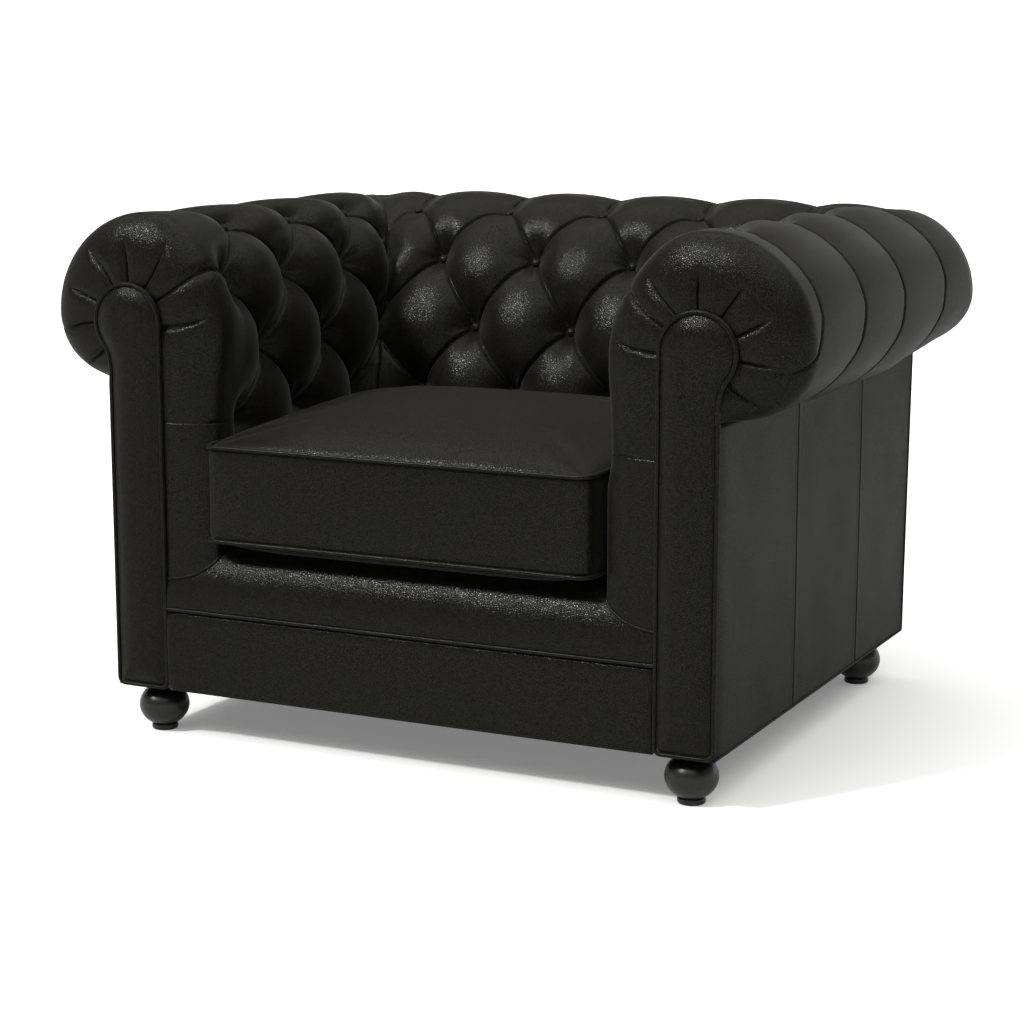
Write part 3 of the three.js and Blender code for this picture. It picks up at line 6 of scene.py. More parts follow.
import bpy
import numpy as np
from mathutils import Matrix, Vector


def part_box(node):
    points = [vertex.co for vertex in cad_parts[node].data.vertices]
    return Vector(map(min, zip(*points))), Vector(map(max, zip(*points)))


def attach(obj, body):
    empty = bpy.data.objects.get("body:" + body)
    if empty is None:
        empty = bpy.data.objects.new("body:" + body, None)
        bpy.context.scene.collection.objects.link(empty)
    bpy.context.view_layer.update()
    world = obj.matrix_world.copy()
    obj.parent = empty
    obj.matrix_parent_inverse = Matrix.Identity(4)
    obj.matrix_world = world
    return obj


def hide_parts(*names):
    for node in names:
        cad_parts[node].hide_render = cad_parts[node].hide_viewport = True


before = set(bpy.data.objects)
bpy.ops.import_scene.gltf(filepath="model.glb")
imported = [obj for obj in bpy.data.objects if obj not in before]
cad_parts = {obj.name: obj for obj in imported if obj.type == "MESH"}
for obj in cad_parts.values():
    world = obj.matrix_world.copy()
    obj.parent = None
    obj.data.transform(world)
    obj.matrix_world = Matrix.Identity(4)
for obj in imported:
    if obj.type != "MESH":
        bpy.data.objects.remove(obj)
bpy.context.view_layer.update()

BASE = "chair_base"
CUSHION = "seat_cushion"
SIDES = {"right": 1, "left": -1}

# Places read from the frame: the facing plane in metres, the others in millimetres
MM = 0.001
FACING_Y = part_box("front_border")[0].y
BODY_BOTTOM = round(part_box("right_outside_arm")[0].z / MM)
SEAT_HEIGHT = round(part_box("platform_cloth")[1].z / MM)
PANEL_X = round(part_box("right_outside_arm")[1].x / MM)

# Roll and body
BODY_HALF = 450
BODY_DEPTH = 798
ROLL_TOP = 734
ROLL_AXIS_X = 420
ROLL_AXIS_Y = 715
ROLL_AXIS_Z = 588
ROLL_UNDERSIDE = 500
ROLL_SIDE_REACH = 142
ROLL_BACK_REACH = 158
ROLL_PADDING = 20
BASE_TOP = ROLL_TOP - ROLL_PADDING
TUFT_DEPTH = 45
BACK_END = BODY_DEPTH + 14
COVER_BOTTOM = 262
ARM_FACE_X = 338
ARM_SPRING_Z = 550
BACK_FOOT_Y = 510
BACK_LINE_Y = (BACK_FOOT_Y, BACK_FOOT_Y - 10, BACK_FOOT_Y + 70, ROLL_AXIS_Y)
BACK_LINE_Z = (COVER_BOTTOM, 450, BASE_TOP, BASE_TOP)

# Button lattice
ARM_PITCH = 172
BACK_PITCH = 160
FIRST_BUTTON = 112
LAST_ROW = 3
DECK_ROW = 5
TOP_ROW = -1 / 3
ROUND_ROWS = 4
ROW_PLACES = (TOP_ROW, 0, 1, 2, 3, DECK_ROW)
INNER_SHARES = (1, 0.87, 0.655, 0.46, 0.3, 0)
BUTTON_RADIUS = 7

# Facing
STEM_X = 370
HEAD_X = 421
HEAD_Z = 587
HEAD_RADIUS = 51
NECK_Z = HEAD_Z - 52
NECK_WAIST = 3
NECK_LEAVE = -0.233 * math.pi
PIPING = 3
FRONT_FACE_Y = 3.3
FRONT_ROUND = FIRST_BUTTON - ARM_PITCH / 3 - FRONT_FACE_Y
FRONT_CORNER = 40
PAD_LOW_CORNER = 22
EDGE_TUCK = 7
SEAM_GAP = 0.3

# Lip, deck and border
LIP_Z = 190
LIP_TOP = SEAT_HEIGHT - 2
LIP_ROUND = 40
LIP_BULGE = 2
LIP_TUCK = 110
BORDER_HALF = STEM_X - PIPING - SEAM_GAP

# Fine grid: steps to a button pitch and to a button row
LATTICE_STEPS = 72
ROW_STEPS = 36


def ease(share):
    share = np.clip(share, 0, 1)
    return share * share * (3 - 2 * share)


def mix(a, b, share):
    return a + (b - a) * share


# Profiles of the arm and the back. inner runs from the deck (0) to the top of the roll (1); outer turns
# round the roll from its top (0) to its underside (1), and is not a number on the inner side.
def back_line(share):
    p, q = 1 - share, share
    weights = (p**3, 3 * p * p * q, 3 * p * q * q, q**3)
    y = sum(place * weight for place, weight in zip(BACK_LINE_Y, weights))
    z = sum(place * weight for place, weight in zip(BACK_LINE_Z, weights))
    return y, z


def arm_swing(inner):
    rise = (back_line(inner)[1] - ARM_SPRING_Z) / (BASE_TOP - ARM_SPRING_Z)
    return np.arcsin(np.clip(rise, 0, 1))


def roll_turn(outer, axis, reach, end):
    angle = outer * np.pi
    above = outer <= 0.5
    rise = np.where(above, BASE_TOP - ROLL_AXIS_Z, ROLL_AXIS_Z - ROLL_UNDERSIDE - ROLL_PADDING)
    across = np.where(above, reach, axis + reach - end)
    middle = np.where(above, axis, end)
    normal = np.sin(angle) / across, np.cos(angle) / rise
    length = np.hypot(*normal)
    x = middle + across * np.sin(angle)
    z = ROLL_AXIS_Z + rise * np.cos(angle)
    return x, z, normal[0] / length, normal[1] / length


def arm_profile(inner, outer, level):
    outside = ~np.isnan(outer)
    inner = np.where(outside, 1.0, inner)
    swing = arm_swing(inner)
    across, rise = ROLL_AXIS_X - ARM_FACE_X, BASE_TOP - ARM_SPRING_Z
    out, up = -np.cos(swing) / across, np.sin(swing) / rise
    length = np.hypot(out, up)
    x, z = ROLL_AXIS_X - across * np.cos(swing), back_line(inner)[1]
    turn = roll_turn(np.where(outside, outer, 0.0), ROLL_AXIS_X, ROLL_SIDE_REACH - ROLL_PADDING, PANEL_X)
    x, z = np.where(outside, turn[0], x), np.where(outside, turn[1], z)
    out, up = np.where(outside, turn[2], out / length), np.where(outside, turn[3], up / length)
    return x + out * level, z + up * level


def back_profile(inner, outer, level):
    outside = ~np.isnan(outer)
    inner = np.where(outside, 1.0, inner)
    y, z = back_line(inner)
    before, after = back_line(inner - 1e-3), back_line(inner + 1e-3)
    up, back = after[0] - before[0], after[1] - before[1]
    length = np.hypot(up, back)
    turn = roll_turn(np.where(outside, outer, 0.0), ROLL_AXIS_Y, ROLL_BACK_REACH - ROLL_PADDING, BACK_END)
    y, z = np.where(outside, turn[0], y), np.where(outside, turn[1], z)
    forward, upward = np.where(outside, turn[2], -back / length), np.where(outside, turn[3], up / length)
    return y + forward * level, z + upward * level


CORNER_SQUARE_SHARE = 0.83


def corner_point(inner, outer, level, turn):
    """The mitre of arm and back: a plain corner inside, a rounded one outside that squares off below."""
    arm_x, arm_z = arm_profile(inner, outer, level)
    back_y, back_z = back_profile(inner, outer, level)
    outside = ~np.isnan(outer)
    angle = turn * np.pi / 2
    square = ease((np.where(outside, outer, 0) - CORNER_SQUARE_SHARE) / (1 - CORNER_SQUARE_SHARE))
    squared_x = np.minimum(1, 1 / np.tan(np.maximum(angle, 1e-6)))
    squared_y = np.minimum(1, np.tan(np.minimum(angle, np.pi / 4)))
    across = mix(np.cos(angle), squared_x, square)
    along = mix(np.sin(angle), squared_y, square)
    x = np.where(outside, ROLL_AXIS_X + (arm_x - ROLL_AXIS_X) * across, arm_x)
    y = np.where(outside, ROLL_AXIS_Y + (back_y - ROLL_AXIS_Y) * along, back_y)
    z = np.where(outside, mix(arm_z, back_z, turn), (arm_z + back_z) / 2)
    return x, y, z


def stations(row):
    """The inner and outer shares at places counted in button rows, from the deck row up and over."""
    inner = np.interp(row, ROW_PLACES, INNER_SHARES)
    outer = np.where(row < TOP_ROW, (TOP_ROW - row) / ROUND_ROWS, np.nan)
    return inner, outer


CREST_EASE = 0.12
CREST_POWER = 0.8


def padding_at(row):
    inner, outer = stations(row)
    upright = np.hypot(np.cos(arm_swing(inner)), CREST_EASE) ** CREST_POWER
    least, most = CREST_EASE**CREST_POWER, np.hypot(1, CREST_EASE) ** CREST_POWER
    share = (upright - least) / (most - least)
    return np.where(np.isnan(outer), mix(ROLL_PADDING, TUFT_DEPTH, share), ROLL_PADDING)


# Tufting. Folds run from button to button, straight pleats go down to the deck and over the rolls, and the
# padding stands up between them.
ROW_SPACING = 92
FOLD_LENGTH = 126
PIT_FLAT = 5.5
PIT_REACH = 57
PIT_POWER = 2.7
SWELL_POWER = 0.82
CREASE_DEPTH = 8.0
CREASE_WIDTH = 1.4
CREASE_POWER = 1.5
CREASE_START = 5
CREASE_RISE = 9
DECK_SINK = 0.4
ARM_SINKS = {"fold": 0.55, "top": 0.28, "side": 0.15}
BACK_SINKS = {"fold": 0.36, "top": 0.55, "side": 0.2}
PLAIN_ARM = -0.25
WRINKLES = 11
WRINKLE_HEIGHT = 1.2
WRINKLE_REACH = 17
WRINKLE_START = 6
WRINKLE_RISE = 8
WRINKLE_TURNS = (2.4, 1.7)
# Rows, and shares of a pitch or of the roll, over which one form gives way to the next
OVER_BLEND = 0.5
UNDER_BLEND = 0.6
CROSSING_BLEND = 0.3
TOP_SINK_BLEND = 0.45
STRAIGHT_POWER = 0.5


def swell(distance):
    return np.sin(np.pi * np.minimum(np.abs(distance), 0.5)) ** SWELL_POWER


def to_nearest(value):
    return value - np.round(value)


def crease(distance):
    return np.exp(-((np.abs(distance) / CREASE_WIDTH) ** CREASE_POWER))


def fold_weight(value, other, plain_before):
    """1 where the fold nearest to a place is a real one, 0 where the plain pad lies on both its sides."""
    low = np.floor(value)
    side = np.where(value - low < 0.5, low, low + 1)
    beyond = np.where(side == low, low - 0.5, low + 1.5)
    cell = np.floor(other) + 0.5
    here, there = (cell + low + 0.5) / 2, (cell + beyond) / 2
    return np.where((here < plain_before) & (there < plain_before), 0.0, 1.0)


def tuft_level(along, row, pitch, sinks, plain_before=-np.inf):
    """Height of the leather over the buttons' surface at a place counted in pitches and rows."""
    inside = np.clip(row, 0, LAST_ROW)
    rising, falling = along + inside / 2, along - inside / 2
    off_rising, off_falling = to_nearest(rising), to_nearest(falling)
    node = (np.round(rising) + np.round(falling)) / 2
    ghost = node < plain_before - 0.5
    reach = np.hypot(FOLD_LENGTH * np.hypot(off_rising, off_falling), ROW_SPACING * (row - inside))
    reach = np.where(ghost, np.inf, reach)
    pit = 1 - np.clip(1 - (reach - PIT_FLAT) / PIT_REACH, 0, 1) ** PIT_POWER
    pit = np.where(reach < PIT_FLAT, 0, pit)
    over = ease(-row / OVER_BLEND)
    under = ease((row - LAST_ROW) / UNDER_BLEND)
    straight = np.maximum(over, under)
    between = 1.0
    line = 0.0
    for value, other in ((rising, falling), (falling, rising)):
        off, off_other = to_nearest(value), to_nearest(other)
        real = fold_weight(value, other, plain_before)
        full = mix(swell(off), 1, ease(np.abs(off_other) / CROSSING_BLEND))
        between = between * np.where(ghost, 1, mix(full, swell(off), real))
        line = np.maximum(line, real * crease(FOLD_LENGTH * mix(off, pitch / FOLD_LENGTH * off, straight)))
    between = between ** mix(1, STRAIGHT_POWER, straight)
    outer = np.nan_to_num(stations(row)[1])
    top_sink = mix(sinks["top"], sinks["side"], ease(outer / TOP_SINK_BLEND))
    sink = mix(mix(sinks["fold"], top_sink, over), DECK_SINK, under)
    padding = padding_at(row)
    depth = CREASE_DEPTH * line * ease((reach - CREASE_START) / CREASE_RISE)
    angle = np.arctan2(ROW_SPACING * (row - inside) + FOLD_LENGTH * (off_rising - off_falling),
                       FOLD_LENGTH * (off_rising + off_falling))
    near = np.exp(-reach / WRINKLE_REACH) * ease((reach - WRINKLE_START) / WRINKLE_RISE)
    turned = WRINKLES * angle + WRINKLE_TURNS[0] * node + WRINKLE_TURNS[1] * np.round(rising)
    wrinkle = WRINKLE_HEIGHT * np.where(ghost, 0, near) * np.cos(turned)
    return np.maximum(padding * pit * (1 - sink * (1 - between)) - depth, 0) + wrinkle


# Inner corner: full near the deck, less so above, drawn in at the two buttons that arm and back share
CORNER_ROWS = (TOP_ROW, 0, 0.5, 0.8, 0.93, 1, 1.07, 1.2, 1.5, 1.8, 1.93, 2, 2.07, 2.25, 2.6, 3, 5)
CORNER_FULL_SHARES = (0.3, 0.32, 0.5, 0.4, 0.2, 0.05, 0.25, 0.5, 0.62, 0.5, 0.25, 0.05, 0.25, 0.6, 0.85,
                      0.92, 0.92)
CORNER_RISE_SHARE = 1.7
CORNER_BLEND = 14
CORNER_TOP_SOFTNESS = 2.0
CORNER_FOOT_SOFTNESS = 1.5
CREST_DROP = 0.7
CREST_DROP_REACH = 52
CREST_DROP_ROWS = 1.1


def smooth_less(first, second, softness):
    """The smaller of two heights, with the corner between them rounded."""
    return -softness * np.logaddexp(-first / softness, -second / softness)


def drawn_at_crest(level, distance, row):
    """Arm and back draw each other down where their rolls meet at the top."""
    near = np.exp(-((np.maximum(distance, 0) / CREST_DROP_REACH) ** 2))
    return level * (1 - CREST_DROP * near * np.exp(-(((row - TOP_ROW) / CREST_DROP_ROWS) ** 2)))


def corner_seam(row):
    return np.interp(row, CORNER_ROWS, CORNER_FULL_SHARES) * padding_at(row)


def seated_in_corner(level, distance, row):
    """The level near the mitre meets the seam's level and stays on its own side of it."""
    padding, seam = padding_at(row), corner_seam(row)
    away = np.maximum(distance - seam, 0)
    rise = np.minimum(away / np.maximum(CORNER_RISE_SHARE * (padding - seam), 1e-6), 1)
    most = mix(seam, padding, np.sin(rise * np.pi / 2))
    least = seam * np.exp(-((away / CORNER_BLEND) ** 2))
    lowered = smooth_less(level, most, CORNER_TOP_SOFTNESS)
    raised = -smooth_less(-lowered, -least, CORNER_FOOT_SOFTNESS)
    near = ease(2 - distance / (2 * TUFT_DEPTH))
    return np.where(np.isnan(stations(row)[1]), mix(level, raised, near), level)


# The lattice closes up towards the corner, so that both covers share the corner's buttons. From the last
# regular column on, a pitch has these lengths at rows 0, 1, 2, 3 and the deck.
CLOSING_ROWS = (0, 1, 2, 3, 5)
REGULAR_COLUMN = 1.5
ARM_CLOSING = (172, 144, 192, 114, 114)
BACK_CLOSING = (160, 105, 196, 196, 196)


def arm_place(along, row):
    last = FIRST_BUTTON + ARM_PITCH * (REGULAR_COLUMN + 0.5)
    steep = last + (along - REGULAR_COLUMN) * np.interp(row, CLOSING_ROWS, ARM_CLOSING)
    return np.where(along > REGULAR_COLUMN, steep, FIRST_BUTTON + ARM_PITCH * (along + 0.5))


def back_place(along, row):
    pitch = np.interp(row, CLOSING_ROWS, BACK_CLOSING)
    steep = REGULAR_COLUMN * BACK_PITCH + (along - REGULAR_COLUMN) * pitch
    return np.where(along > REGULAR_COLUMN, steep, BACK_PITCH * along)


# The underside of the rolls rises towards the rear
REAR_LIFT = 22
LIFT_START = 420
LIFT_LENGTH = 330


def rear_lift(y):
    return REAR_LIFT * ease((y - LIFT_START) / LIFT_LENGTH)


def lifted(points, outside):
    below = np.clip((ROLL_TOP - points[..., 2]) / (ROLL_TOP - ROLL_UNDERSIDE), 0, 1)
    points[..., 2] += np.where(outside, below * rear_lift(points[..., 1]), 0)
    return points


# Mesh helpers
def drawn_to(places, target, spread, pull):
    """How places along an axis move so that the nearest lies on the target and its neighbours close up."""
    nearest = places[np.argmin(np.abs(places - target))]
    near = np.exp(-(((places - nearest) / spread) ** 2))
    return (target - nearest) * near - pull * (places - nearest) * near


def grid_faces(shape, fold, flip):
    """Two triangles for each cell, split along the fold where its marked corners lie across the cell."""
    index = np.arange(shape[0] * shape[1]).reshape(shape)
    a, b, c, d = index[:-1, :-1], index[:-1, 1:], index[1:, 1:], index[1:, :-1]
    if fold is None:
        along = np.ones(a.shape, bool)
    else:
        marks = fold.reshape(shape).astype(int)
        along = marks[:-1, :-1] + marks[1:, 1:] >= marks[:-1, 1:] + marks[1:, :-1]
    along = along[..., None]
    first = np.where(along, np.stack([a, b, c], -1), np.stack([a, b, d], -1)).reshape(-1, 3)
    second = np.where(along, np.stack([a, c, d], -1), np.stack([b, c, d], -1)).reshape(-1, 3)
    faces = np.concatenate([first, second])
    return faces[:, ::-1] if flip else faces


def merged(points, faces, closeness=0.02):
    """Points that fall together become one, and faces that collapse are dropped."""
    keys = np.round(points / closeness).astype(np.int64)
    _, first, inverse = np.unique(keys, axis=0, return_index=True, return_inverse=True)
    faces = inverse.reshape(-1)[faces]
    whole = (faces[:, 0] != faces[:, 1]) & (faces[:, 1] != faces[:, 2]) & (faces[:, 0] != faces[:, 2])
    return points[first], faces[whole]


def grid_mesh(points, fold=None, flip=False):
    shape = points.shape[:2]
    return merged(points.reshape(-1, 3), grid_faces(shape, fold, flip))


def together(parts):
    points, faces, start = [], [], 0
    for part_points, part_faces in parts:
        points.append(part_points)
        faces.append(part_faces + start)
        start += len(part_points)
    return np.concatenate(points), np.concatenate(faces)


def mirrored(part, side):
    points, faces = part
    if side > 0:
        return points, faces
    return points * np.array([-1, 1, 1]), faces[:, ::-1]


def to_row(points):
    placed = np.asarray(points, float) * MM
    placed[:, 1] += FACING_Y
    return placed


def add_object(name, data):
    made = bpy.data.objects.new(name, data)
    bpy.context.scene.collection.objects.link(made)
    return made


def mesh_object(name, points, faces, material):
    mesh = bpy.data.meshes.new(name)
    mesh.from_pydata(points.tolist(), [], faces)
    mesh.materials.append(material)
    return add_object(name, mesh)


def piece(name, part, material, body=BASE, nodes=(), smooth=True):
    """A piece of the armchair from places in millimetres. It replaces the nodes, if it has any."""
    points, faces = part
    made = mesh_object(name, to_row(points), faces.tolist(), material)
    made.data.validate()
    if smooth:
        made.data.shade_smooth()
    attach(made, body)
    if nodes:
        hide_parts(*nodes)
    return made


def unit(vectors):
    return vectors / np.linalg.norm(vectors, axis=-1, keepdims=True)


def tube(path, radius, sides=10, closed=False, up=(0, 0, 1)):
    """A round tube along a path, with a flat cap at each open end. radius may change along the path."""
    path = np.asarray(path, float)
    if closed:
        along = unit(np.roll(path, -1, 0) - np.roll(path, 1, 0))
    else:
        along = unit(np.gradient(path, axis=0))
    side = unit(np.cross(along, np.asarray(up, float)))
    top = np.cross(side, along)
    radius = np.broadcast_to(radius, len(path))[:, None, None]
    angle = np.linspace(0, 2 * np.pi, sides + 1)[None, :, None]
    points = path[:, None] + radius * (side[:, None] * np.cos(angle) + top[:, None] * np.sin(angle))
    if closed:
        points = np.concatenate([points, points[:1]])
        return grid_mesh(points, flip=True)
    ends = [np.broadcast_to(path[k], (1, sides + 1, 3)) for k in (0, -1)]
    return grid_mesh(np.concatenate([ends[0], points, ends[1]]), flip=True)


def resampled(path, step, closed=False):
    """The same line with points a steady step apart."""
    path = np.asarray(path, float)
    if closed:
        path = np.concatenate([path, path[:1]])
    passed = np.concatenate([[0], np.cumsum(np.linalg.norm(np.diff(path, axis=0), axis=1))])
    count = max(int(round(passed[-1] / step)), 2)
    places = np.linspace(0, passed[-1], count + 1)
    if closed:
        places = places[:-1]
    return np.stack([np.interp(places, passed, path[:, k]) for k in range(3)], -1)


STITCH_STEP = 3.2
STITCH_DEPTH = 0.16


def piping(path, closed=False, up=(0, 0, 1), radius=PIPING):
    """A leather cord with a shallow rib at each stitch."""
    path = resampled(path, STITCH_STEP / 3, closed)
    rib = np.cos(2 * np.pi * np.arange(len(path)) / 3)
    return tube(path, radius + STITCH_DEPTH * rib, 12, closed, up)


# Materials. Pattern scales count repeats to a metre, and a bump is a strength and a depth in metres.
def feed(node, inputs):
    """Sets inputs of a node, each to a value or to an output of another node."""
    for name, value in inputs.items():
        if isinstance(value, bpy.types.NodeSocket):
            node.id_data.links.new(value, node.inputs[name])
        else:
            node.inputs[name].default_value = value


def add_node(tree, kind, inputs=None, **settings):
    node = tree.nodes.new(kind)
    for name, setting in settings.items():
        setattr(node, name, setting)
    feed(node, inputs or {})
    return node


def new_material(name):
    material = bpy.data.materials.new(name)
    material.use_nodes = True
    return material, material.node_tree, material.node_tree.nodes["Principled BSDF"]


def object_place(tree):
    return tree.nodes.new("ShaderNodeTexCoord").outputs["Object"]


def noise(tree, place, scale, detail, roughness=0.5, output="Fac"):
    inputs = {"Vector": place, "Scale": scale, "Detail": detail, "Roughness": roughness}
    return add_node(tree, "ShaderNodeTexNoise", inputs).outputs[output]


def ramp(tree, value, low, high, first, last):
    inputs = {"Value": value, "From Min": low, "From Max": high, "To Min": first, "To Max": last}
    return add_node(tree, "ShaderNodeMapRange", inputs).outputs["Result"]


def calculated(tree, operation, *values):
    return add_node(tree, "ShaderNodeMath", dict(enumerate(values)), operation=operation).outputs[0]


def two_colours(tree, value, first, second):
    inputs = {"Factor": value, "A": (*first, 1), "B": (*second, 1)}
    return add_node(tree, "ShaderNodeMix", inputs, data_type="RGBA").outputs["Result"]


def bumped(tree, height, strength, distance, before=None):
    inputs = {"Height": height, "Strength": strength, "Distance": distance}
    if before is not None:
        inputs["Normal"] = before
    return add_node(tree, "ShaderNodeBump", inputs).outputs["Normal"]


# Leather colours; the dark one also gives the painted shade in the grooves of the grain
LEATHER_DARK = (0.0042, 0.0040, 0.0033)
LEATHER_LIGHT = (0.0105, 0.0099, 0.0083)
LEATHER_SPECULAR = 0.01
LEATHER_TINT = (1.0, 0.97, 0.9, 1)
GLOSS_SPREAD = 0.035
COAT_WEIGHT = 0.12
COAT_SHARES = (0.3, 1.1)
COAT_IOR = 2.0
COAT_ROUGHNESS = 0.23
SHEEN_WEIGHT = 0.1
SHEEN_ROUGHNESS = 0.4
PEBBLE_SCALE = 370.0
PEBBLE_EDGE = 0.3
PEBBLE_WARP = 0.0016
WARP_SCALE = 180.0
FINE_SCALE = 1500.0
BROAD_SCALE = 9.0
MOTTLE_SCALE = 60.0
MOTTLE_BUMP = (0.1, 0.0010)
FINE_BUMP = (0.05, 0.0003)
PEBBLE_BUMP = (0.24, 0.0004)
# The middle range of a noise, where nearly all its values lie
NOISE_RANGE = (0.3, 0.7)


def leather_material(name, shine, grain):
    """Semi-aniline leather: pebbled grain with shade painted into its grooves, soft mottling and slightly
    uneven gloss.
    """
    material, tree, shader = new_material(name)
    place = object_place(tree)
    warp = noise(tree, place, WARP_SCALE, 2.0, output="Color")
    shifted = add_node(tree, "ShaderNodeVectorMath", {0: warp, 1: (PEBBLE_WARP,) * 3, 2: place},
                       operation="MULTIPLY_ADD")
    cells = add_node(tree, "ShaderNodeTexVoronoi", {"Vector": shifted.outputs[0], "Scale": PEBBLE_SCALE},
                     feature="DISTANCE_TO_EDGE")
    pebble = ramp(tree, cells.outputs["Distance"], 0, PEBBLE_EDGE, 0, 1)
    mottle = noise(tree, place, MOTTLE_SCALE, 5.0, 0.6)
    # Painted shade: the colour darkens in the narrow grooves between the pebbles, on top of the random
    # mottling
    mottle_and_groove_shade = calculated(tree, "MULTIPLY", ramp(tree, mottle, *NOISE_RANGE, 0.3, 1), pebble)
    gloss = noise(tree, place, BROAD_SCALE, 4.0)
    normal = None
    for height, (strength, depth), share in (
        (mottle, MOTTLE_BUMP, 1), (noise(tree, place, FINE_SCALE, 2.0), FINE_BUMP, grain),
        (pebble, PEBBLE_BUMP, grain),
    ):
        normal = bumped(tree, height, strength * share, depth, normal)
    feed(shader, {
        "Base Color": two_colours(tree, mottle_and_groove_shade, LEATHER_DARK, LEATHER_LIGHT),
        "Roughness": ramp(tree, gloss, *NOISE_RANGE, shine - GLOSS_SPREAD, shine + GLOSS_SPREAD),
        "Normal": normal,
        "Specular IOR Level": LEATHER_SPECULAR,
        "Specular Tint": LEATHER_TINT,
        "Coat Weight": ramp(tree, pebble, 0, 1, *(COAT_WEIGHT * share for share in COAT_SHARES)),
        "Coat Roughness": COAT_ROUGHNESS,
        "Coat IOR": COAT_IOR,
        "Coat Normal": normal,
        "Sheen Weight": SHEEN_WEIGHT,
        "Sheen Roughness": SHEEN_ROUGHNESS,
    })
    return material


GRAIN_STRETCH = 12
GRAIN_BUMP = (0.15, 0.0004)


def wood_material(name, dark, light, shine, specular, ring_scale):
    """Wood with an upright grain."""
    material, tree, shader = new_material(name)
    scale = (ring_scale, ring_scale, ring_scale / GRAIN_STRETCH)
    stretch = add_node(tree, "ShaderNodeMapping", {"Vector": object_place(tree), "Scale": scale})
    grain = noise(tree, stretch.outputs["Vector"], 1.0, 5.0, 0.6)
    feed(shader, {
        "Base Color": two_colours(tree, ramp(tree, grain, 0.35, 0.65, 0, 1), dark, light),
        "Roughness": ramp(tree, grain, *NOISE_RANGE, shine - 0.04, shine + 0.06),
        "Normal": bumped(tree, grain, *GRAIN_BUMP),
        "Specular IOR Level": specular,
    })
    return material


THREAD_BUMP = (0.5, 0.0006)


def cloth_material(name, dark, light, threads):
    """Plain weave from two crossed waves."""
    material, tree, shader = new_material(name)
    inputs = {"Vector": object_place(tree), "Scale": threads, "Distortion": 0.6, "Detail Scale": 2.0}
    waves = [add_node(tree, "ShaderNodeTexWave", inputs, bands_direction=way).outputs["Fac"] for way in "XY"]
    woven = calculated(tree, "MAXIMUM", *waves)
    feed(shader, {
        "Base Color": two_colours(tree, woven, dark, light),
        "Normal": bumped(tree, woven, *THREAD_BUMP),
        "Roughness": 0.9,
        "Specular IOR Level": 0.15,
    })
    return material


WEAR_SCALE = 220.0
WORN_SHARE = 0.7
WEAR_ROUGHNESS = 0.15


def metal_material(name, colour, shine):
    material, tree, shader = new_material(name)
    wear = noise(tree, object_place(tree), WEAR_SCALE, 4.0)
    shade = [channel * WORN_SHARE for channel in colour]
    feed(shader, {
        "Base Color": two_colours(tree, wear, shade, colour),
        "Roughness": ramp(tree, wear, *NOISE_RANGE, shine, shine + WEAR_ROUGHNESS),
        "Metallic": 1.0,
    })
    return material


leather = leather_material("leather", 0.5, 1.6)
cord_leather = leather_material("cord_leather", 0.45, 0.5)
turned_wood = wood_material("turned_wood", (0.004, 0.0038, 0.0035), (0.009, 0.0085, 0.0075), 0.3, 0.4, 160.0)
frame_wood = wood_material("frame_wood", (0.30, 0.17, 0.075), (0.46, 0.29, 0.14), 0.65, 0.3, 90.0)
black_cloth = cloth_material("black_cloth", (0.006, 0.006, 0.006), (0.02, 0.019, 0.018), 900.0)
hessian = cloth_material("hessian", (0.16, 0.10, 0.045), (0.34, 0.24, 0.12), 320.0)
spring_steel = metal_material("spring_steel", (0.32, 0.33, 0.34), 0.3)
zip_metal = metal_material("zip_metal", (0.18, 0.17, 0.15), 0.28)


# Front pads: where the cover turns from the roll and the inside arm to the facing's edge
def head_direction(inner, outer):
    x, z = arm_profile(inner, outer, 0.0)
    return np.arctan2(z - HEAD_Z, x - HEAD_X)


def neck_curve(share, inset):
    radius = HEAD_RADIUS - inset
    first = (HEAD_X + radius * math.cos(NECK_LEAVE), HEAD_Z + radius * math.sin(NECK_LEAVE))
    middle = (BODY_HALF - NECK_WAIST - inset, NECK_Z)
    last = (BODY_HALF - inset, ROLL_UNDERSIDE)
    weights = ((1 - share) ** 2, 2 * share * (1 - share), share**2)
    return [first[k] * weights[0] + middle[k] * weights[1] + last[k] * weights[2] for k in range(2)]


def front_edge(inner, outer, z):
    direction = head_direction(inner, outer)
    radius = HEAD_RADIUS - EDGE_TUCK
    x_round, z_round = HEAD_X + radius * np.cos(direction), HEAD_Z + radius * np.sin(direction)
    last = head_direction(np.ones(1), np.ones(1))[0]
    down = np.clip((NECK_LEAVE - direction) / (NECK_LEAVE - last), 0, 1)
    neck = neck_curve(down, EDGE_TUCK)
    on_stem = np.isnan(outer) & (z < HEAD_Z)
    on_neck = ~np.isnan(outer) & (direction <= NECK_LEAVE)
    x = np.where(on_stem, STEM_X + EDGE_TUCK, np.where(on_neck, neck[0], x_round))
    return x, np.where(on_stem, z, np.where(on_neck, neck[1], z_round))


FRONT_BLEND = 110
LOW_CORNER_BLEND = 50
SEAM_HEIGHT = 450
FRONT_FULLNESS_SHARE = 0.82


def front_depth(outer, z):
    corner = mix(PAD_LOW_CORNER, FRONT_CORNER, ease((z - SEAM_HEIGHT) / LOW_CORNER_BLEND + 1))
    depth = mix(corner, FRONT_ROUND, ease((z - HEAD_Z) / FRONT_BLEND + 1))
    return np.where(np.isnan(outer), depth, FRONT_ROUND)


def rounded(angle):
    """How far a round has gone back from its front at an angle of its quarter turn."""
    return 1 - np.maximum(np.cos(angle), 0) ** FRONT_FULLNESS_SHARE


def lip_surface(y):
    reach = (LIP_ROUND - np.maximum(y, -LIP_BULGE)) / (LIP_ROUND + LIP_BULGE)
    return LIP_Z + (LIP_TOP - LIP_Z) * np.sqrt(np.maximum(0, 1 - reach * reach))


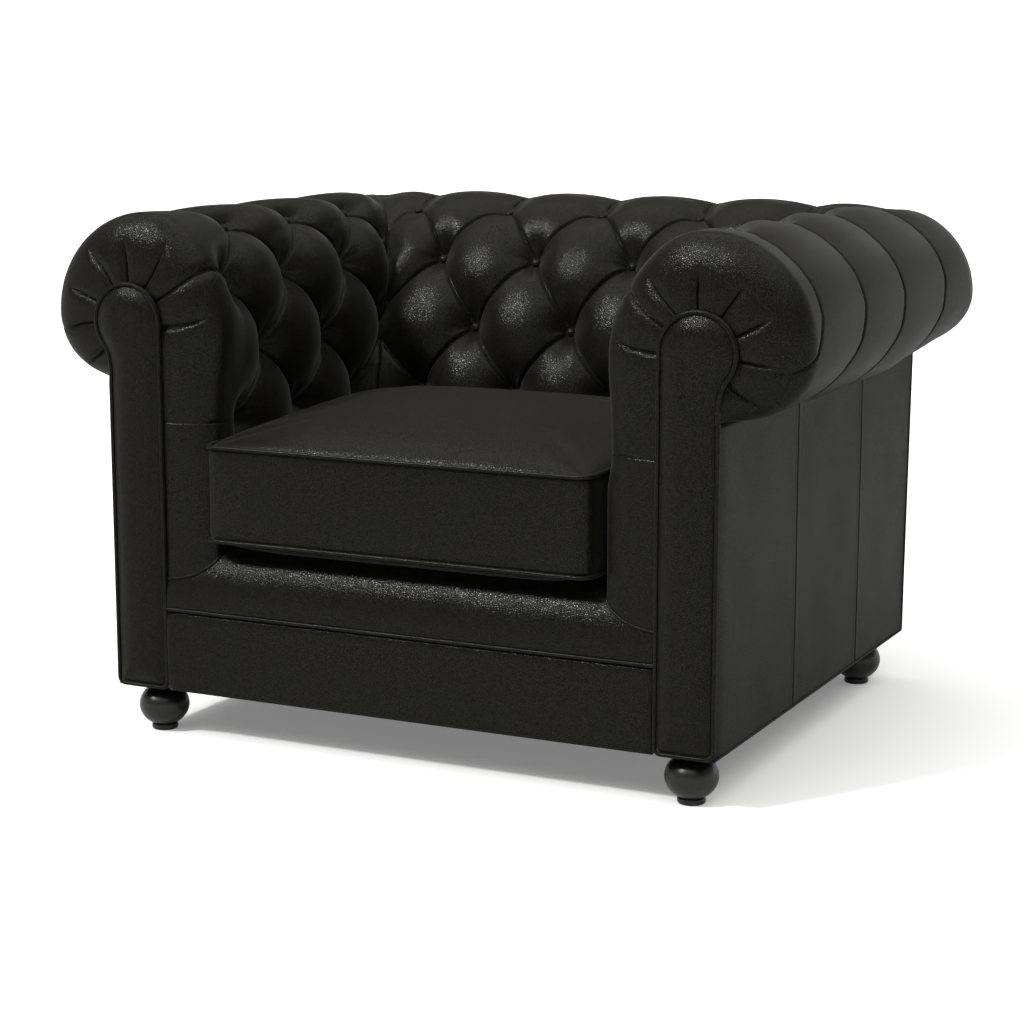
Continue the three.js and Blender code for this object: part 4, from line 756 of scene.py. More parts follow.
# The outer pleats lean forward as they go round the roll: how far, at shares of the half turn
PLEAT_TURN_SHARES = (0, 0.1, 0.2, 0.3, 0.4, 0.5, 0.6, 0.7, 0.85, 1)
PLEAT_LEAN = (55, 88, 102, 104, 114, 146, 182, 206, 222, 226)
PLEAT_LEAN_ROWS = 0.43
LAST_PLEAT_LEAN_SHARE = 0.82
ARM_PLEATS = 4


def arm_pleat_places(row):
    """y of each outer pleat of the arm at the given rows."""
    outer = np.maximum((TOP_ROW - row) / ROUND_ROWS, 0)
    lean = np.interp(outer, PLEAT_TURN_SHARES, PLEAT_LEAN) * ease(-row / PLEAT_LEAN_ROWS)
    shares = [1.0] * (ARM_PLEATS - 1) + [LAST_PLEAT_LEAN_SHARE]
    return np.array([FIRST_BUTTON + ARM_PITCH * (k + 0.5) - lean * shares[k] for k in range(ARM_PLEATS)])


def unleaned(y, row):
    """Places counted in pitches from the pleats, so that a whole number lies on a pleat."""
    pleats = arm_pleat_places(row)
    along = (y - pleats[0]) / ARM_PITCH
    for k in range(1, ARM_PLEATS):
        share = (y - pleats[k - 1]) / (pleats[k] - pleats[k - 1])
        along = np.where(y > pleats[k - 1], k - 1 + share, along)
    along = np.where(y > pleats[-1], ARM_PLEATS - 1 + (y - pleats[-1]) / ARM_PITCH, along)
    return np.clip(along, -0.5, ARM_PLEATS - 0.5)


# Radial pleats of the front rounds: row at the facing, row at the outer end, and the end's share of the
# round
RADIAL_PLEATS = {
    "right": [(1.60, 1.50, 0.62), (0.49, 0.52, 0.60), (-0.29, -0.31, 0.40), (-1.10, -1.12, 0.42),
              (-1.82, -1.77, 0.42), (-2.66, -2.66, 0.40), (-3.82, -3.66, 0.62)],
    "left": [(1.64, 1.48, 0.70), (0.38, 0.20, 0.60), (-0.36, -0.46, 0.46), (-1.00, -1.18, 0.56),
             (-1.80, -1.88, 0.50), (-2.53, -2.64, 0.52), (-3.82, -3.60, 0.66)],
}
# The one pleat that runs on to the first button: its rows at shares of the round
BUTTON_PLEAT_SHARES = (0, 0.31, 0.6, 0.93, 1)
BUTTON_PLEAT_ROWS = (1.0, 0.91, 0.87, 0.87, 0.89)
RADIAL_DEPTH = 2.4
RADIAL_HALF = 13.0
SLIT_DEPTH = 5.0
SEAM_DEPTH = 2.2
SEAM_START_SHARE = 0.02
SEAM_FADE_SHARE = 0.2
# Distances from a pleat are taken on the roll. At the facing's edge they have shrunk to this share.
EDGE_DISTANCE_SHARE = 0.45
# The share of its length over which a pleat keeps its full depth
CUT_FULL_SHARE = 0.45
# The pleat to the first button starts to fade this far before it, and over this length
BUTTON_PLEAT_END = 24
BUTTON_PLEAT_FADE = 18

# The plain front pad stands a little fuller than the rest
PAD_FULLNESS = 11
PAD_ROW = 1.45
PAD_ROWS = 0.75
PAD_END = PLAIN_ARM - 0.25
PAD_BLEND = 0.35

# How grid lines close up on a pleat: over how many lines, by what share, and over how many rows it starts
PLEAT_SPREAD = 2.6
PLEAT_PULL = 0.5
PLEAT_START_ROWS = 0.2
RADIAL_SPREAD = 2.4
RADIAL_PULL = 0.55

SKIRT_ROWS = 12
SKIRT_OVERLAP = 1.5
DECK_STEPS = 2 * ROW_STEPS - 16
CREST_ROWS = 22
OUTER_ROWS = 150
FRONT_COLUMNS = 44
CORNER_COLUMNS = 28
LATTICE_START = FRONT_FACE_Y + FRONT_ROUND
ARM_LATTICE_COLUMNS = math.ceil((ROLL_AXIS_Y - LATTICE_START) * LATTICE_STEPS / ARM_PITCH)
ARM_LAST_COLUMN = FRONT_COLUMNS + ARM_LATTICE_COLUMNS
FOLD_MARK = 0.3


def base_rows():
    """Rows of a cover, counted in button rows from the skirt below the deck up and round to the underside."""
    return np.concatenate([
        np.full(SKIRT_ROWS, float(DECK_ROW)),
        np.linspace(DECK_ROW, LAST_ROW, DECK_STEPS, endpoint=False),
        np.linspace(LAST_ROW, 0, LAST_ROW * ROW_STEPS, endpoint=False),
        np.linspace(0, TOP_ROW, CREST_ROWS, endpoint=False),
        np.linspace(TOP_ROW, TOP_ROW - ROUND_ROWS, OUTER_ROWS),
    ])


def column_at(y):
    """The arm's column at a y, on the lattice or on the deep front round."""
    if y >= LATTICE_START:
        return FRONT_COLUMNS + (y - LATTICE_START) * LATTICE_STEPS / ARM_PITCH
    rise = np.clip((y - FRONT_FACE_Y) / FRONT_ROUND, 0, 1)
    return FRONT_COLUMNS * (np.arccos((1 - rise) ** (1 / FRONT_FULLNESS_SHARE)) * 2 / np.pi)


def drawn_columns(rows, columns):
    """How columns close up on the outer pleats, and marks along those folds."""
    shift = np.zeros((len(rows), len(columns)))
    fold = np.zeros(shift.shape, bool)
    for j in np.nonzero(rows < 0)[0]:
        pull = PLEAT_PULL * ease(-rows[j] / PLEAT_START_ROWS)
        for target in map(column_at, arm_pleat_places(rows[j])):
            if target > 1:
                shift[j] += drawn_to(columns, target, PLEAT_SPREAD, pull)
                fold[j, int(round(target))] = True
    return shift, fold


def drawn_rows(rows, columns, lines, button_line, seam_row):
    """How rows close up on the radial pleats and on the pad's short seam, and marks along those folds."""
    shift = np.zeros((len(rows), len(columns)))
    fold = np.zeros(shift.shape, bool)
    row_number = np.arange(len(rows), dtype=float)
    for i in range(FRONT_COLUMNS + int((FIRST_BUTTON - LATTICE_START) * LATTICE_STEPS / ARM_PITCH)):
        targets = [line[i] for line in lines] + [seam_row] if i < FRONT_COLUMNS - 2 else []
        for target in targets + [button_line[i]]:
            number = np.interp(-target, -rows[SKIRT_ROWS:], row_number[SKIRT_ROWS:])
            shift[:, i] += drawn_to(row_number, number, RADIAL_SPREAD, RADIAL_PULL)
            fold[int(round(number)), i] = True
    return shift, fold


def pleat_lines(side, columns):
    """The row of each radial pleat at every column, and that of the pleat to the first button."""
    share = np.minimum(columns / FRONT_COLUMNS, 1)
    lines = [mix(first, end, ease(share / length)) for first, end, length in RADIAL_PLEATS[side]]
    past = (columns - FRONT_COLUMNS) * ARM_PITCH / LATTICE_STEPS
    to_button = ease(past / (FIRST_BUTTON - LATTICE_START))
    return lines, mix(np.interp(share, BUTTON_PLEAT_SHARES, BUTTON_PLEAT_ROWS), 1, to_button)


def at_corner(level, distance, row):
    """The level where a cover comes to the other one, at a distance from its end."""
    return seated_in_corner(drawn_at_crest(level, distance, row), distance, row)


def arm_level(row, along, y_lattice, share, on_front):
    """Height of the arm's leather over the lattice and round the front."""
    y = np.where(on_front, FRONT_FACE_Y + FRONT_ROUND * rounded(share * np.pi / 2), y_lattice)
    counted = np.where(row < 0, unleaned(y, row), along)
    level = tuft_level(counted, row, ARM_PITCH, ARM_SINKS, PLAIN_ARM)
    plain = np.where(row < 0, level, padding_at(row))
    level = np.where(on_front, mix(plain, level, share**2), level)
    pad = ease((PAD_END - along) / PAD_BLEND) * np.exp(-(((row - PAD_ROW) / PAD_ROWS) ** 2))
    end = back_profile(*stations(row), 0.0)[0]
    return at_corner(level + PAD_FULLNESS * pad, end - y_lattice, row)


def chosen(choice, places, others):
    """Coordinates of one set of places where the choice holds, and of the others elsewhere."""
    return [np.where(choice, place, other) for place, other in zip(places, others)]


def turned_corner(places, axis, row, level, past_columns):
    """A cover's places, which run along an axis, with the inner ones stopped at the mitre and the outer
    ones past the lattice swept half way round the corner."""
    inner, outer = stations(row)
    inside = np.isnan(outer)
    mitre = corner_point(inner, outer, np.where(inside, corner_seam(row), level), np.full_like(row, 0.5))
    turn = np.clip(past_columns / CORNER_COLUMNS, 0, 1) / 2
    swept = corner_point(inner, outer, level, turn if axis == 1 else 1 - turn)
    places = chosen(inside & ((places[axis] > mitre[axis]) | (past_columns > 0)), mitre, places)
    return chosen(~inside & (past_columns > 0), swept, places)


ROUND_LENGTH_SHARE = 0.45
ROUND_EXTRA_LENGTH = 60


def front_round(x, z, row, share):
    """A round of the local depth, then straight back to the lattice; also how far it has opened out."""
    inner, outer = stations(row)
    depth = front_depth(outer, z)
    flat = FRONT_ROUND - depth
    length = ROUND_LENGTH_SHARE * depth + ROUND_EXTRA_LENGTH
    round_part = length / (length + flat)
    angle = np.minimum(share / round_part, 1) * np.pi / 2
    beyond = np.clip((share - round_part) / np.maximum(1 - round_part, 1e-6), 0, 1)
    edge_x, edge_z = front_edge(inner, outer, z)
    reach = np.sin(angle) ** FRONT_FULLNESS_SHARE
    y = FRONT_FACE_Y + depth * rounded(angle) + flat * beyond
    return (mix(edge_x, x, reach), y, mix(edge_z, z, reach)), reach


def cut_depth(row, line, distance_share):
    """Depth of a radial pleat, by the distance from the row on which it runs."""
    here = arm_profile(*stations(row), 0.0)
    there = arm_profile(*stations(np.broadcast_to(line, row.shape)), 0.0)
    away = np.hypot(here[0] - there[0], here[1] - there[1]) * distance_share
    broad = np.cos(np.minimum(away / RADIAL_HALF, 1) * np.pi / 2) ** 2
    return RADIAL_DEPTH * broad + SLIT_DEPTH * crease(away)


def lattice_folds(along, row):
    """Marks on the grid places beside the folds from button to button."""
    marks = np.zeros(row.shape, bool)
    for slope in (0.5, -0.5):
        marks |= np.abs(to_nearest(along + slope * row)) * LATTICE_STEPS < FOLD_MARK
    return marks & (row >= 0) & (row <= LAST_ROW)


def arm_surface(side):
    rows = base_rows()
    columns = np.arange(ARM_LAST_COLUMN + CORNER_COLUMNS + 1, dtype=float)
    lines, button_line = pleat_lines(side, columns)
    inner_rows = rows[rows >= TOP_ROW]
    seam_row = np.interp(SEAM_HEIGHT, back_line(stations(inner_rows)[0])[1], inner_rows)
    column_shift, column_folds = drawn_columns(rows, columns)
    row_shift, row_folds = drawn_rows(rows, columns, lines, button_line, seam_row)

    row_number = np.arange(len(rows), dtype=float)
    number = np.clip(row_number[:, None] + row_shift, 0, len(rows) - 1)
    row = np.interp(number, row_number, rows)
    drop = np.interp(number, row_number, np.maximum(1 - row_number / SKIRT_ROWS, 0))
    column = np.clip(columns[None, :] + column_shift, 0, columns[-1])
    column[:, -1] = columns[-1]
    inner, outer = stations(row)
    inside = np.isnan(outer)
    share = np.clip(column / FRONT_COLUMNS, 0, 1)
    on_front = column <= FRONT_COLUMNS

    start = (LATTICE_START - FIRST_BUTTON) / ARM_PITCH - 0.5
    along = start + np.clip(column - FRONT_COLUMNS, 0, ARM_LATTICE_COLUMNS) / LATTICE_STEPS
    y = np.minimum(arm_place(along, row), ROLL_AXIS_Y)
    level = arm_level(row, along, y, share, on_front)
    x, z = arm_profile(inner, outer, level)
    x, y, z = turned_corner((x, y, z), 1, row, level, column - ARM_LAST_COLUMN)
    front, reach = front_round(x, z, row, share)
    x, y, z = chosen(on_front, front, (x, y, z))
    points = np.stack([x, y, z], -1)

    # Radial pleats and the pad's seam, cut square to the surface
    shrunk = np.where(on_front, mix(EDGE_DISTANCE_SHARE, 1.0, reach), 1)
    fade = np.where(on_front, 1, 1 - ease((y - FIRST_BUTTON + BUTTON_PLEAT_END) / BUTTON_PLEAT_FADE))
    sunk = cut_depth(row, button_line, shrunk) * fade
    for (_, _, length), line in zip(RADIAL_PLEATS[side], lines):
        fade = 1 - ease((share - length * CUT_FULL_SHARE) / (length * (1 - CUT_FULL_SHARE)))
        sunk = np.maximum(sunk, cut_depth(row, line, shrunk) * fade * on_front)
    seam_z = back_line(stations(np.array([seam_row]))[0])[1][0]
    on_pad = on_front & inside & (z < HEAD_Z) & (share > SEAM_START_SHARE)
    fade = on_pad * (1 - ease((share - 1 + SEAM_FADE_SHARE) / SEAM_FADE_SHARE))
    sunk = np.maximum(sunk, SEAM_DEPTH * crease(z - seam_z) * fade)
    points = points - surface_normals(points) * sunk[..., None]

    # The skirt stands on the lip in front
    foot = np.minimum(COVER_BOTTOM, lip_surface(points[..., 1]) - SKIRT_OVERLAP)
    points[..., 2] = np.where(drop > 0, mix(points[..., 2], foot, drop), points[..., 2])
    fold = column_folds | row_folds | (lattice_folds(along, row) & ~on_front)
    return lifted(points, ~inside), fold


def surface_normals(points):
    """Normals of a grid whose rows go up and whose columns go back, pointing out of the right arm."""
    normal = np.cross(np.gradient(points, axis=0), np.gradient(points, axis=1))
    return normal / np.maximum(np.linalg.norm(normal, axis=-1, keepdims=True), 1e-9)


BUTTON_DOME = 4.4
BUTTON_STAND = 2.6
# Below its rim a button narrows: shares of its radius, and heights
BUTTON_SKIRT = ((0.96, -2.0), (0.8, -5.0))
# Any direction that no button faces
BUTTON_TURN = (0.3, 0.5, 0.81)
# A button nearer than this to the other cover is left out
ARM_CLEARANCE = ARM_PITCH / 6
BACK_CLEARANCE = BACK_PITCH / 16


def button(centre, normal):
    """A covered button: a low dome with a rounded rim, and its edge going down into the pit."""
    angles = np.linspace(0, np.pi / 2, 9)
    profile = [(BUTTON_RADIUS * math.sin(angle), BUTTON_DOME * math.cos(angle)) for angle in angles]
    profile += [(share * BUTTON_RADIUS, height) for share, height in BUTTON_SKIRT]
    normal = unit(np.asarray(normal, float))
    side = unit(np.cross(normal, BUTTON_TURN))
    other = np.cross(normal, side)
    angle = np.linspace(0, 2 * np.pi, 29)[None, :, None]
    rings = np.array(profile)
    points = (np.asarray(centre)[None, None] + rings[:, 1][:, None, None] * normal
              + rings[:, 0][:, None, None] * (side * np.cos(angle) + other * np.sin(angle)))
    return grid_mesh(points, flip=True)


def arm_buttons():
    made = []
    for row in range(LAST_ROW + 1):
        inner, outer = stations(np.array([float(row)]))
        low, high = (arm_profile(inner, outer, BUTTON_STAND + rise) for rise in (0, 1))
        normal = (high[0][0] - low[0][0], 0, high[1][0] - low[1][0])
        end = back_profile(inner, outer, 0.0)[0][0] - ARM_CLEARANCE
        for k in range(ARM_PLEATS):
            place = arm_place(k - 0.5 * (row % 2), row)
            if place < end:
                made.append(button((low[0][0], float(place), low[1][0]), normal))
    return together(made)


# The cord where each front pad meets the lip
PAD_WELT_RADIUS = 2.2
WELT_COLUMNS = 10


def arm_covers():
    for side, sign in SIDES.items():
        points, fold = arm_surface(side)
        part = mirrored(grid_mesh(points, fold, flip=True), sign)
        nodes = (f"{side}_arm_cover", f"{side}_arm_foam")
        made = piece(f"{side}_arm_leather", part, leather, nodes=nodes)
        piece(f"{side}_arm_buttons", mirrored(arm_buttons(), sign), leather)
        foot = points[0, 1:FRONT_COLUMNS + WELT_COLUMNS]
        foot[:, 2] = np.maximum(foot[:, 2], lip_surface(foot[:, 1])) + PAD_WELT_RADIUS / 3
        welt = mirrored(piping(foot, radius=PAD_WELT_RADIUS), sign)
        piece(f"{side}_pad_welt", welt, cord_leather)


# Back cover
BACK_PLEATS = 2


def back_surface():
    rows = base_rows()[SKIRT_ROWS:]
    half = int(math.ceil(ROLL_AXIS_X * LATTICE_STEPS / BACK_PITCH))
    columns = np.arange(-half - CORNER_COLUMNS, half + CORNER_COLUMNS + 1, dtype=float)
    row = np.repeat(rows[:, None], len(columns), 1)
    column = np.repeat(columns[None], len(rows), 0)
    fold = np.zeros(row.shape, bool)
    for k in range(-BACK_PLEATS, BACK_PLEATS + 1):
        shift = drawn_to(columns, k * LATTICE_STEPS, PLEAT_SPREAD, PLEAT_PULL)
        column += shift[None] * ease(-rows / PLEAT_START_ROWS)[:, None]
        fold[rows < 0, half + CORNER_COLUMNS + k * LATTICE_STEPS] = True
    distance = np.abs(column)
    inner, outer = stations(row)
    along = np.minimum(distance / LATTICE_STEPS, half / LATTICE_STEPS)
    x = np.minimum(back_place(along, row), ROLL_AXIS_X)
    counted = np.where(row < 0, np.minimum(along, BACK_PLEATS + 0.5), along)
    level = tuft_level(counted, row, BACK_PITCH, BACK_SINKS)
    level = at_corner(level, arm_profile(inner, outer, 0.0)[0] - x, row)
    y, z = back_profile(inner, outer, level)
    x, y, z = turned_corner((x, y, z), 0, row, level, distance - half)
    points = np.stack([x * np.sign(column), y, z], -1)
    return lifted(points, ~np.isnan(outer)), fold | lattice_folds(along, row)


def back_buttons():
    made = []
    for row in range(LAST_ROW + 1):
        inner, outer = stations(np.array([float(row)]))
        low, high = (back_profile(inner, outer, BUTTON_STAND + rise) for rise in (0, 1))
        normal = (0, high[0][0] - low[0][0], high[1][0] - low[1][0])
        end = arm_profile(inner, outer, 0.0)[0][0] - BACK_CLEARANCE
        for k in range(-3, 4):
            along = k + 0.5 * (row % 2)
            place = float(back_place(abs(along), row))
            if place < end:
                made.append(button((math.copysign(place, along), low[0][0], low[1][0]), normal))
    return together(made)


def back_cover():
    points, fold = back_surface()
    part = grid_mesh(points, fold)
    made = piece("back_leather", part, leather, nodes=("back_cover", "back_foam"))
    piece("back_buttons", back_buttons(), leather)


# Facings: the outline goes up the inner side, over the head, down the neck and outer side, and back below
FACING_BOTTOM = BODY_BOTTOM + PIPING
FACING_CORNER = 9
FACING_DOME = 11
DOME_WIDTH = 36
DOME_POWER = 2.4
DOME_SHARES = (0, 0.02, 0.045, 0.08, 0.12, 0.17, 0.23, 0.3, 0.38, 0.47, 0.57, 0.68, 0.8, 0.9, 1)
FACING_TUCK = 3.0
LEAST_CORNER = 2
SPINE_FOOT = FACING_BOTTOM + STEM_X / 9


def facing_outline(inset):
    bottom = FACING_BOTTOM + inset
    corner = max(FACING_CORNER - inset, LEAST_CORNER)
    radius = HEAD_RADIUS - inset
    left, right = STEM_X + inset, BODY_HALF - inset
    up = [(left, z) for z in np.linspace(bottom + corner, HEAD_Z, 90, endpoint=False)]
    over = [(HEAD_X + radius * math.cos(a), HEAD_Z + radius * math.sin(a))
            for a in np.linspace(math.pi, NECK_LEAVE, 60, endpoint=False)]
    neck = [neck_curve(share, inset) for share in np.linspace(0, 1, 20, endpoint=False)]
    down = [(right, z) for z in np.linspace(ROLL_UNDERSIDE, bottom + corner, 70, endpoint=False)]
    turns = []
    for middle, first in ((right - corner, 0.0), (left + corner, -math.pi / 2)):
        turns += [(middle + corner * math.cos(first - a), bottom + corner + corner * math.sin(first - a))
                  for a in np.linspace(0, math.pi / 2, 8, endpoint=False)]
    return np.array(up + over + [tuple(place) for place in neck] + down + turns)


def facing_pad():
    outline = facing_outline(PIPING + SEAM_GAP)
    spine_z = np.clip(outline[:, 1], SPINE_FOOT, HEAD_Z)
    spine_x = mix((STEM_X + BODY_HALF) / 2, HEAD_X, ease((spine_z - NECK_Z) / (HEAD_Z - NECK_Z)))
    spine = np.stack([spine_x, spine_z], -1)
    reach = np.linalg.norm(outline - spine, axis=1)
    rings = [np.stack([outline[:, 0], np.full(len(outline), FACING_TUCK), outline[:, 1]], -1)]
    for share in DOME_SHARES:
        place = mix(outline, spine, share)
        rise = 1 - np.maximum(1 - share * reach / DOME_WIDTH, 0) ** DOME_POWER
        rings.append(np.stack([place[:, 0], -FACING_DOME * rise, place[:, 1]], -1))
    points = np.array(rings)
    return grid_mesh(np.concatenate([points, points[:, :1]], 1), flip=True)


def facings():
    outline = facing_outline(0.0)
    path = np.stack([outline[:, 0], np.zeros(len(outline)), outline[:, 1]], -1)
    cord = piping(path, closed=True, up=(0, 1, 0))
    for side, sign in SIDES.items():
        name = f"{side}_facing"
        piece(f"{name}_leather", mirrored(facing_pad(), sign), leather, nodes=(name,))
        piece(f"{name}_cord", mirrored(cord, sign), cord_leather, nodes=(f"{name}_piping",))


# Outside panels
SIDE_SEAM_SHARES = (0.37, 0.71)
PANEL_SEAM_DIP = 2.4
PANEL_SEAM_HALF = 1.1
PANEL_LIP_RISE = 0.35
PANEL_LIP_PLACE = 5
PANEL_LIP_HALF = 4
PANEL_FRONT_ROUND = 34
PANEL_FRONT_DROP = 3.2
PANEL_FRONT_POWER = 2.2
PANEL_LEATHER = 4
PANEL_INSET = 0.4
PANEL_SLACK = 0.35
PANEL_EDGE = 20
# Distances from a seam, and from the rear edge, at which the panel has a column
SEAM_STEPS = (0, 0.5, 1, 1.6, 2.4, 3.6, 5.5, 8, 12)
REAR_STEPS = (6, 3, 1.2, 0.3)
SEAM_REACH = 14
WELT_RADIUS = 2.3
WELT_Z = BODY_BOTTOM + 2.6
WELT_X = PANEL_X - 1.2
WELT_SET_IN = 1.6
WELT_TOP_GAP = 2


def rear_y(z):
    return BODY_DEPTH + (BACK_END - BODY_DEPTH) * (z - BODY_BOTTOM) / (ROLL_UNDERSIDE - BODY_BOTTOM)


def slack(first, second, size):
    """A low, uneven wave like that of leather stretched over a flat frame."""
    waves = np.sin(first / 61 + 1.3) * np.cos(second / 97 + 0.4)
    waves = waves + 0.6 * np.sin(first / 33 - second / 71 + 2.1)
    return size * (waves + 0.4 * np.cos(first / 21 + second / 43))


def off_edges(width, *distances):
    """0 at the edges of a panel, and 1 further from each edge than the width."""
    share = 1
    for distance in distances:
        share = share * ease(distance / width)
    return share


def panel_columns(seams):
    """Places along the side, close together beside the seams and at both ends."""
    rear = BODY_DEPTH - PANEL_LEATHER
    stops = [PANEL_FRONT_ROUND, *seams, rear]
    places = [np.linspace(FRONT_FACE_Y, PANEL_FRONT_ROUND, 14), rear - np.array(REAR_STEPS)]
    places += [seam + side * np.array(SEAM_STEPS) for seam in seams for side in (1, -1)]
    places += [np.linspace(start + SEAM_REACH, end - SEAM_REACH, 20) for start, end in zip(stops, stops[1:])]
    return np.unique(np.round(np.concatenate(places), 3))


def side_panel():
    seams = [share * BODY_DEPTH for share in SIDE_SEAM_SHARES]
    y, share = np.meshgrid(panel_columns(seams), np.linspace(0, 1, 60))
    top = ROLL_UNDERSIDE + rear_lift(y)
    z = mix(BODY_BOTTOM + SEAM_GAP, top - SEAM_GAP, share)
    dip = sum(np.exp(-(((y - seam) / PANEL_SEAM_HALF) ** 2)) for seam in seams)
    lips = sum(np.exp(-(((np.abs(y - seam) - PANEL_LIP_PLACE) / PANEL_LIP_HALF) ** 2)) for seam in seams)
    front = np.maximum(1 - (y - FRONT_FACE_Y) / PANEL_FRONT_ROUND, 0) ** PANEL_FRONT_POWER
    edges = off_edges(PANEL_EDGE, z - BODY_BOTTOM, top - z)
    x = PANEL_X - PANEL_SEAM_DIP * dip + PANEL_LIP_RISE * lips - PANEL_FRONT_DROP * front
    x = x + slack(y, z, PANEL_SLACK) * edges - PANEL_INSET
    last, rear = seams[-1] + SEAM_REACH, BODY_DEPTH - PANEL_LEATHER
    stretched = last + (y - last) * (rear_y(z) - PANEL_LEATHER - last) / (rear - last)
    points = np.stack([x, np.where(y > last, stretched, y), z], -1)
    return grid_mesh(tucked(points, (-PANEL_LEATHER, 0, 0)))


def tucked(points, inward):
    """The sheet with its four edges turned in."""
    inward = np.array(inward, float)
    points = np.concatenate([points[:1] + inward, points, points[-1:] + inward])
    sides = points[:, :1] + inward, points[:, -1:] + inward
    sides[0][[0, -1]] -= inward
    sides[1][[0, -1]] -= inward
    return np.concatenate([sides[0], points, sides[1]], 1)


# The outside back's top edge runs up under the roll
PANEL_TUCK = 7
BACK_PANEL_INSET = 1.0
BACK_PANEL_SLACK = 0.4


def back_panel():
    x = np.linspace(-PANEL_X, PANEL_X, 90)
    top = ROLL_UNDERSIDE + REAR_LIFT + PANEL_TUCK
    x, z = np.meshgrid(x, np.linspace(BODY_BOTTOM + SEAM_GAP, top - SEAM_GAP, 52))
    edges = off_edges(PANEL_EDGE, z - BODY_BOTTOM, top - z, PANEL_X - np.abs(x))
    y = rear_y(z) - BACK_PANEL_INSET + slack(x, z, BACK_PANEL_SLACK) * edges
    inward = (0, BACK_PANEL_INSET - PANEL_LEATHER, 0)
    return grid_mesh(tucked(np.stack([x, y, z], -1), inward), flip=True)


def hide_welt(name, path, sign=1, up=(0, 0, 1)):
    welt = mirrored(piping(path, up=up, radius=WELT_RADIUS), sign)
    piece(name, welt, cord_leather)


def outside_panels():
    corner_z = np.linspace(WELT_Z, ROLL_UNDERSIDE + REAR_LIFT - WELT_TOP_GAP, 30)
    corner = np.stack([np.full_like(corner_z, WELT_X), rear_y(corner_z) - WELT_SET_IN, corner_z], -1)
    bottom = np.array([[WELT_X, PIPING, WELT_Z], [WELT_X, BODY_DEPTH - PIPING, WELT_Z]])
    for side, sign in SIDES.items():
        panel = mirrored(side_panel(), sign)
        piece(f"{side}_outside_leather", panel, leather, nodes=(f"{side}_outside_arm",))
        hide_welt(f"{side}_bottom_welt", bottom, sign)
        hide_welt(f"{side}_rear_welt", corner, sign, up=(0, 1, 0))
    piece("outside_back_leather", back_panel(), leather, nodes=("outside_back",))
    rear = BODY_DEPTH - WELT_SET_IN
    hide_welt("back_bottom_welt", np.array([[-WELT_X, rear, WELT_Z], [WELT_X, rear, WELT_Z]]))


# Front border, its piping, the lip and the deck behind it
BORDER_TOP = LIP_Z - 2 * PIPING - 2 * SEAM_GAP
BORDER_BULGE = 2.2
BORDER_TURN = 2.4
BORDER_TURN_SHARE = 0.2
BORDER_SLACK = 0.2
BORDER_CORD_RADIUS = PIPING * 0.96
BORDER_CORD_REACH = BORDER_HALF + 2
LIP_LEATHER = 3
LIP_SLACK = 0.35
LIP_COLUMNS = 110
DECK_HALF = ARM_FACE_X - TUFT_DEPTH - 2
DECK_BACK = BACK_FOOT_Y - TUFT_DEPTH - SEAM_GAP
DECK_FRONT = LIP_TUCK - 4
DECK_SAG = 0.8
HESSIAN_FRONT = 36
HESSIAN_BACK = 512


def front_border():
    heights = np.linspace(BODY_BOTTOM + SEAM_GAP, BORDER_TOP, 34)
    x, z = np.meshgrid(np.linspace(-BORDER_HALF, BORDER_HALF, 90), heights)
    share = (z - BODY_BOTTOM) / (BORDER_TOP - BODY_BOTTOM) * 2 - 1
    turned = np.maximum((np.abs(share) - (1 - BORDER_TURN_SHARE)) / BORDER_TURN_SHARE, 0)
    y = -BORDER_BULGE * (1 - np.abs(share) ** 3) + BORDER_TURN * turned**2
    y += slack(x, z * 2, BORDER_SLACK) * (1 - share**2)
    return grid_mesh(tucked(np.stack([x, y, z], -1), (0, LIP_LEATHER, 0)))


def lip():
    angle = np.linspace(0, np.pi / 2, 26)
    y = LIP_ROUND - (LIP_ROUND + LIP_BULGE) * np.cos(angle)
    z = LIP_Z + (LIP_TOP - LIP_Z) * np.sin(angle)
    y = np.concatenate([[LIP_LEATHER], y, np.linspace(LIP_ROUND, LIP_TUCK, 9)[1:], [LIP_TUCK + 1]])
    z = np.concatenate([[LIP_Z - 2], z, np.full(8, LIP_TOP), [LIP_TOP - LIP_LEATHER]])
    x = np.linspace(-BORDER_HALF, BORDER_HALF, LIP_COLUMNS)
    points = np.stack(np.broadcast_arrays(x[None], y[:, None], z[:, None]), -1)
    points[2:-2, :, 1] += slack(points[2:-2, :, 0], points[2:-2, :, 2] * 3, LIP_SLACK)
    return grid_mesh(points)


SHEET_STEP = 12
SHEET_EDGE = 30
SHEET_WAVE = 0.3


def sheet(name, low, high, height, material, nodes):
    count = [max(int((high[k] - low[k]) / SHEET_STEP), 2) for k in range(2)]
    x, y = np.meshgrid(*(np.linspace(low[k], high[k], count[k]) for k in range(2)))
    edges = off_edges(SHEET_EDGE, x - low[0], high[0] - x, y - low[1], high[1] - y)
    z = height + SHEET_WAVE * edges * np.sin(x / 47) * np.cos(y / 61)
    made = piece(name, grid_mesh(np.stack([x, y, z], -1)), material, nodes=nodes)


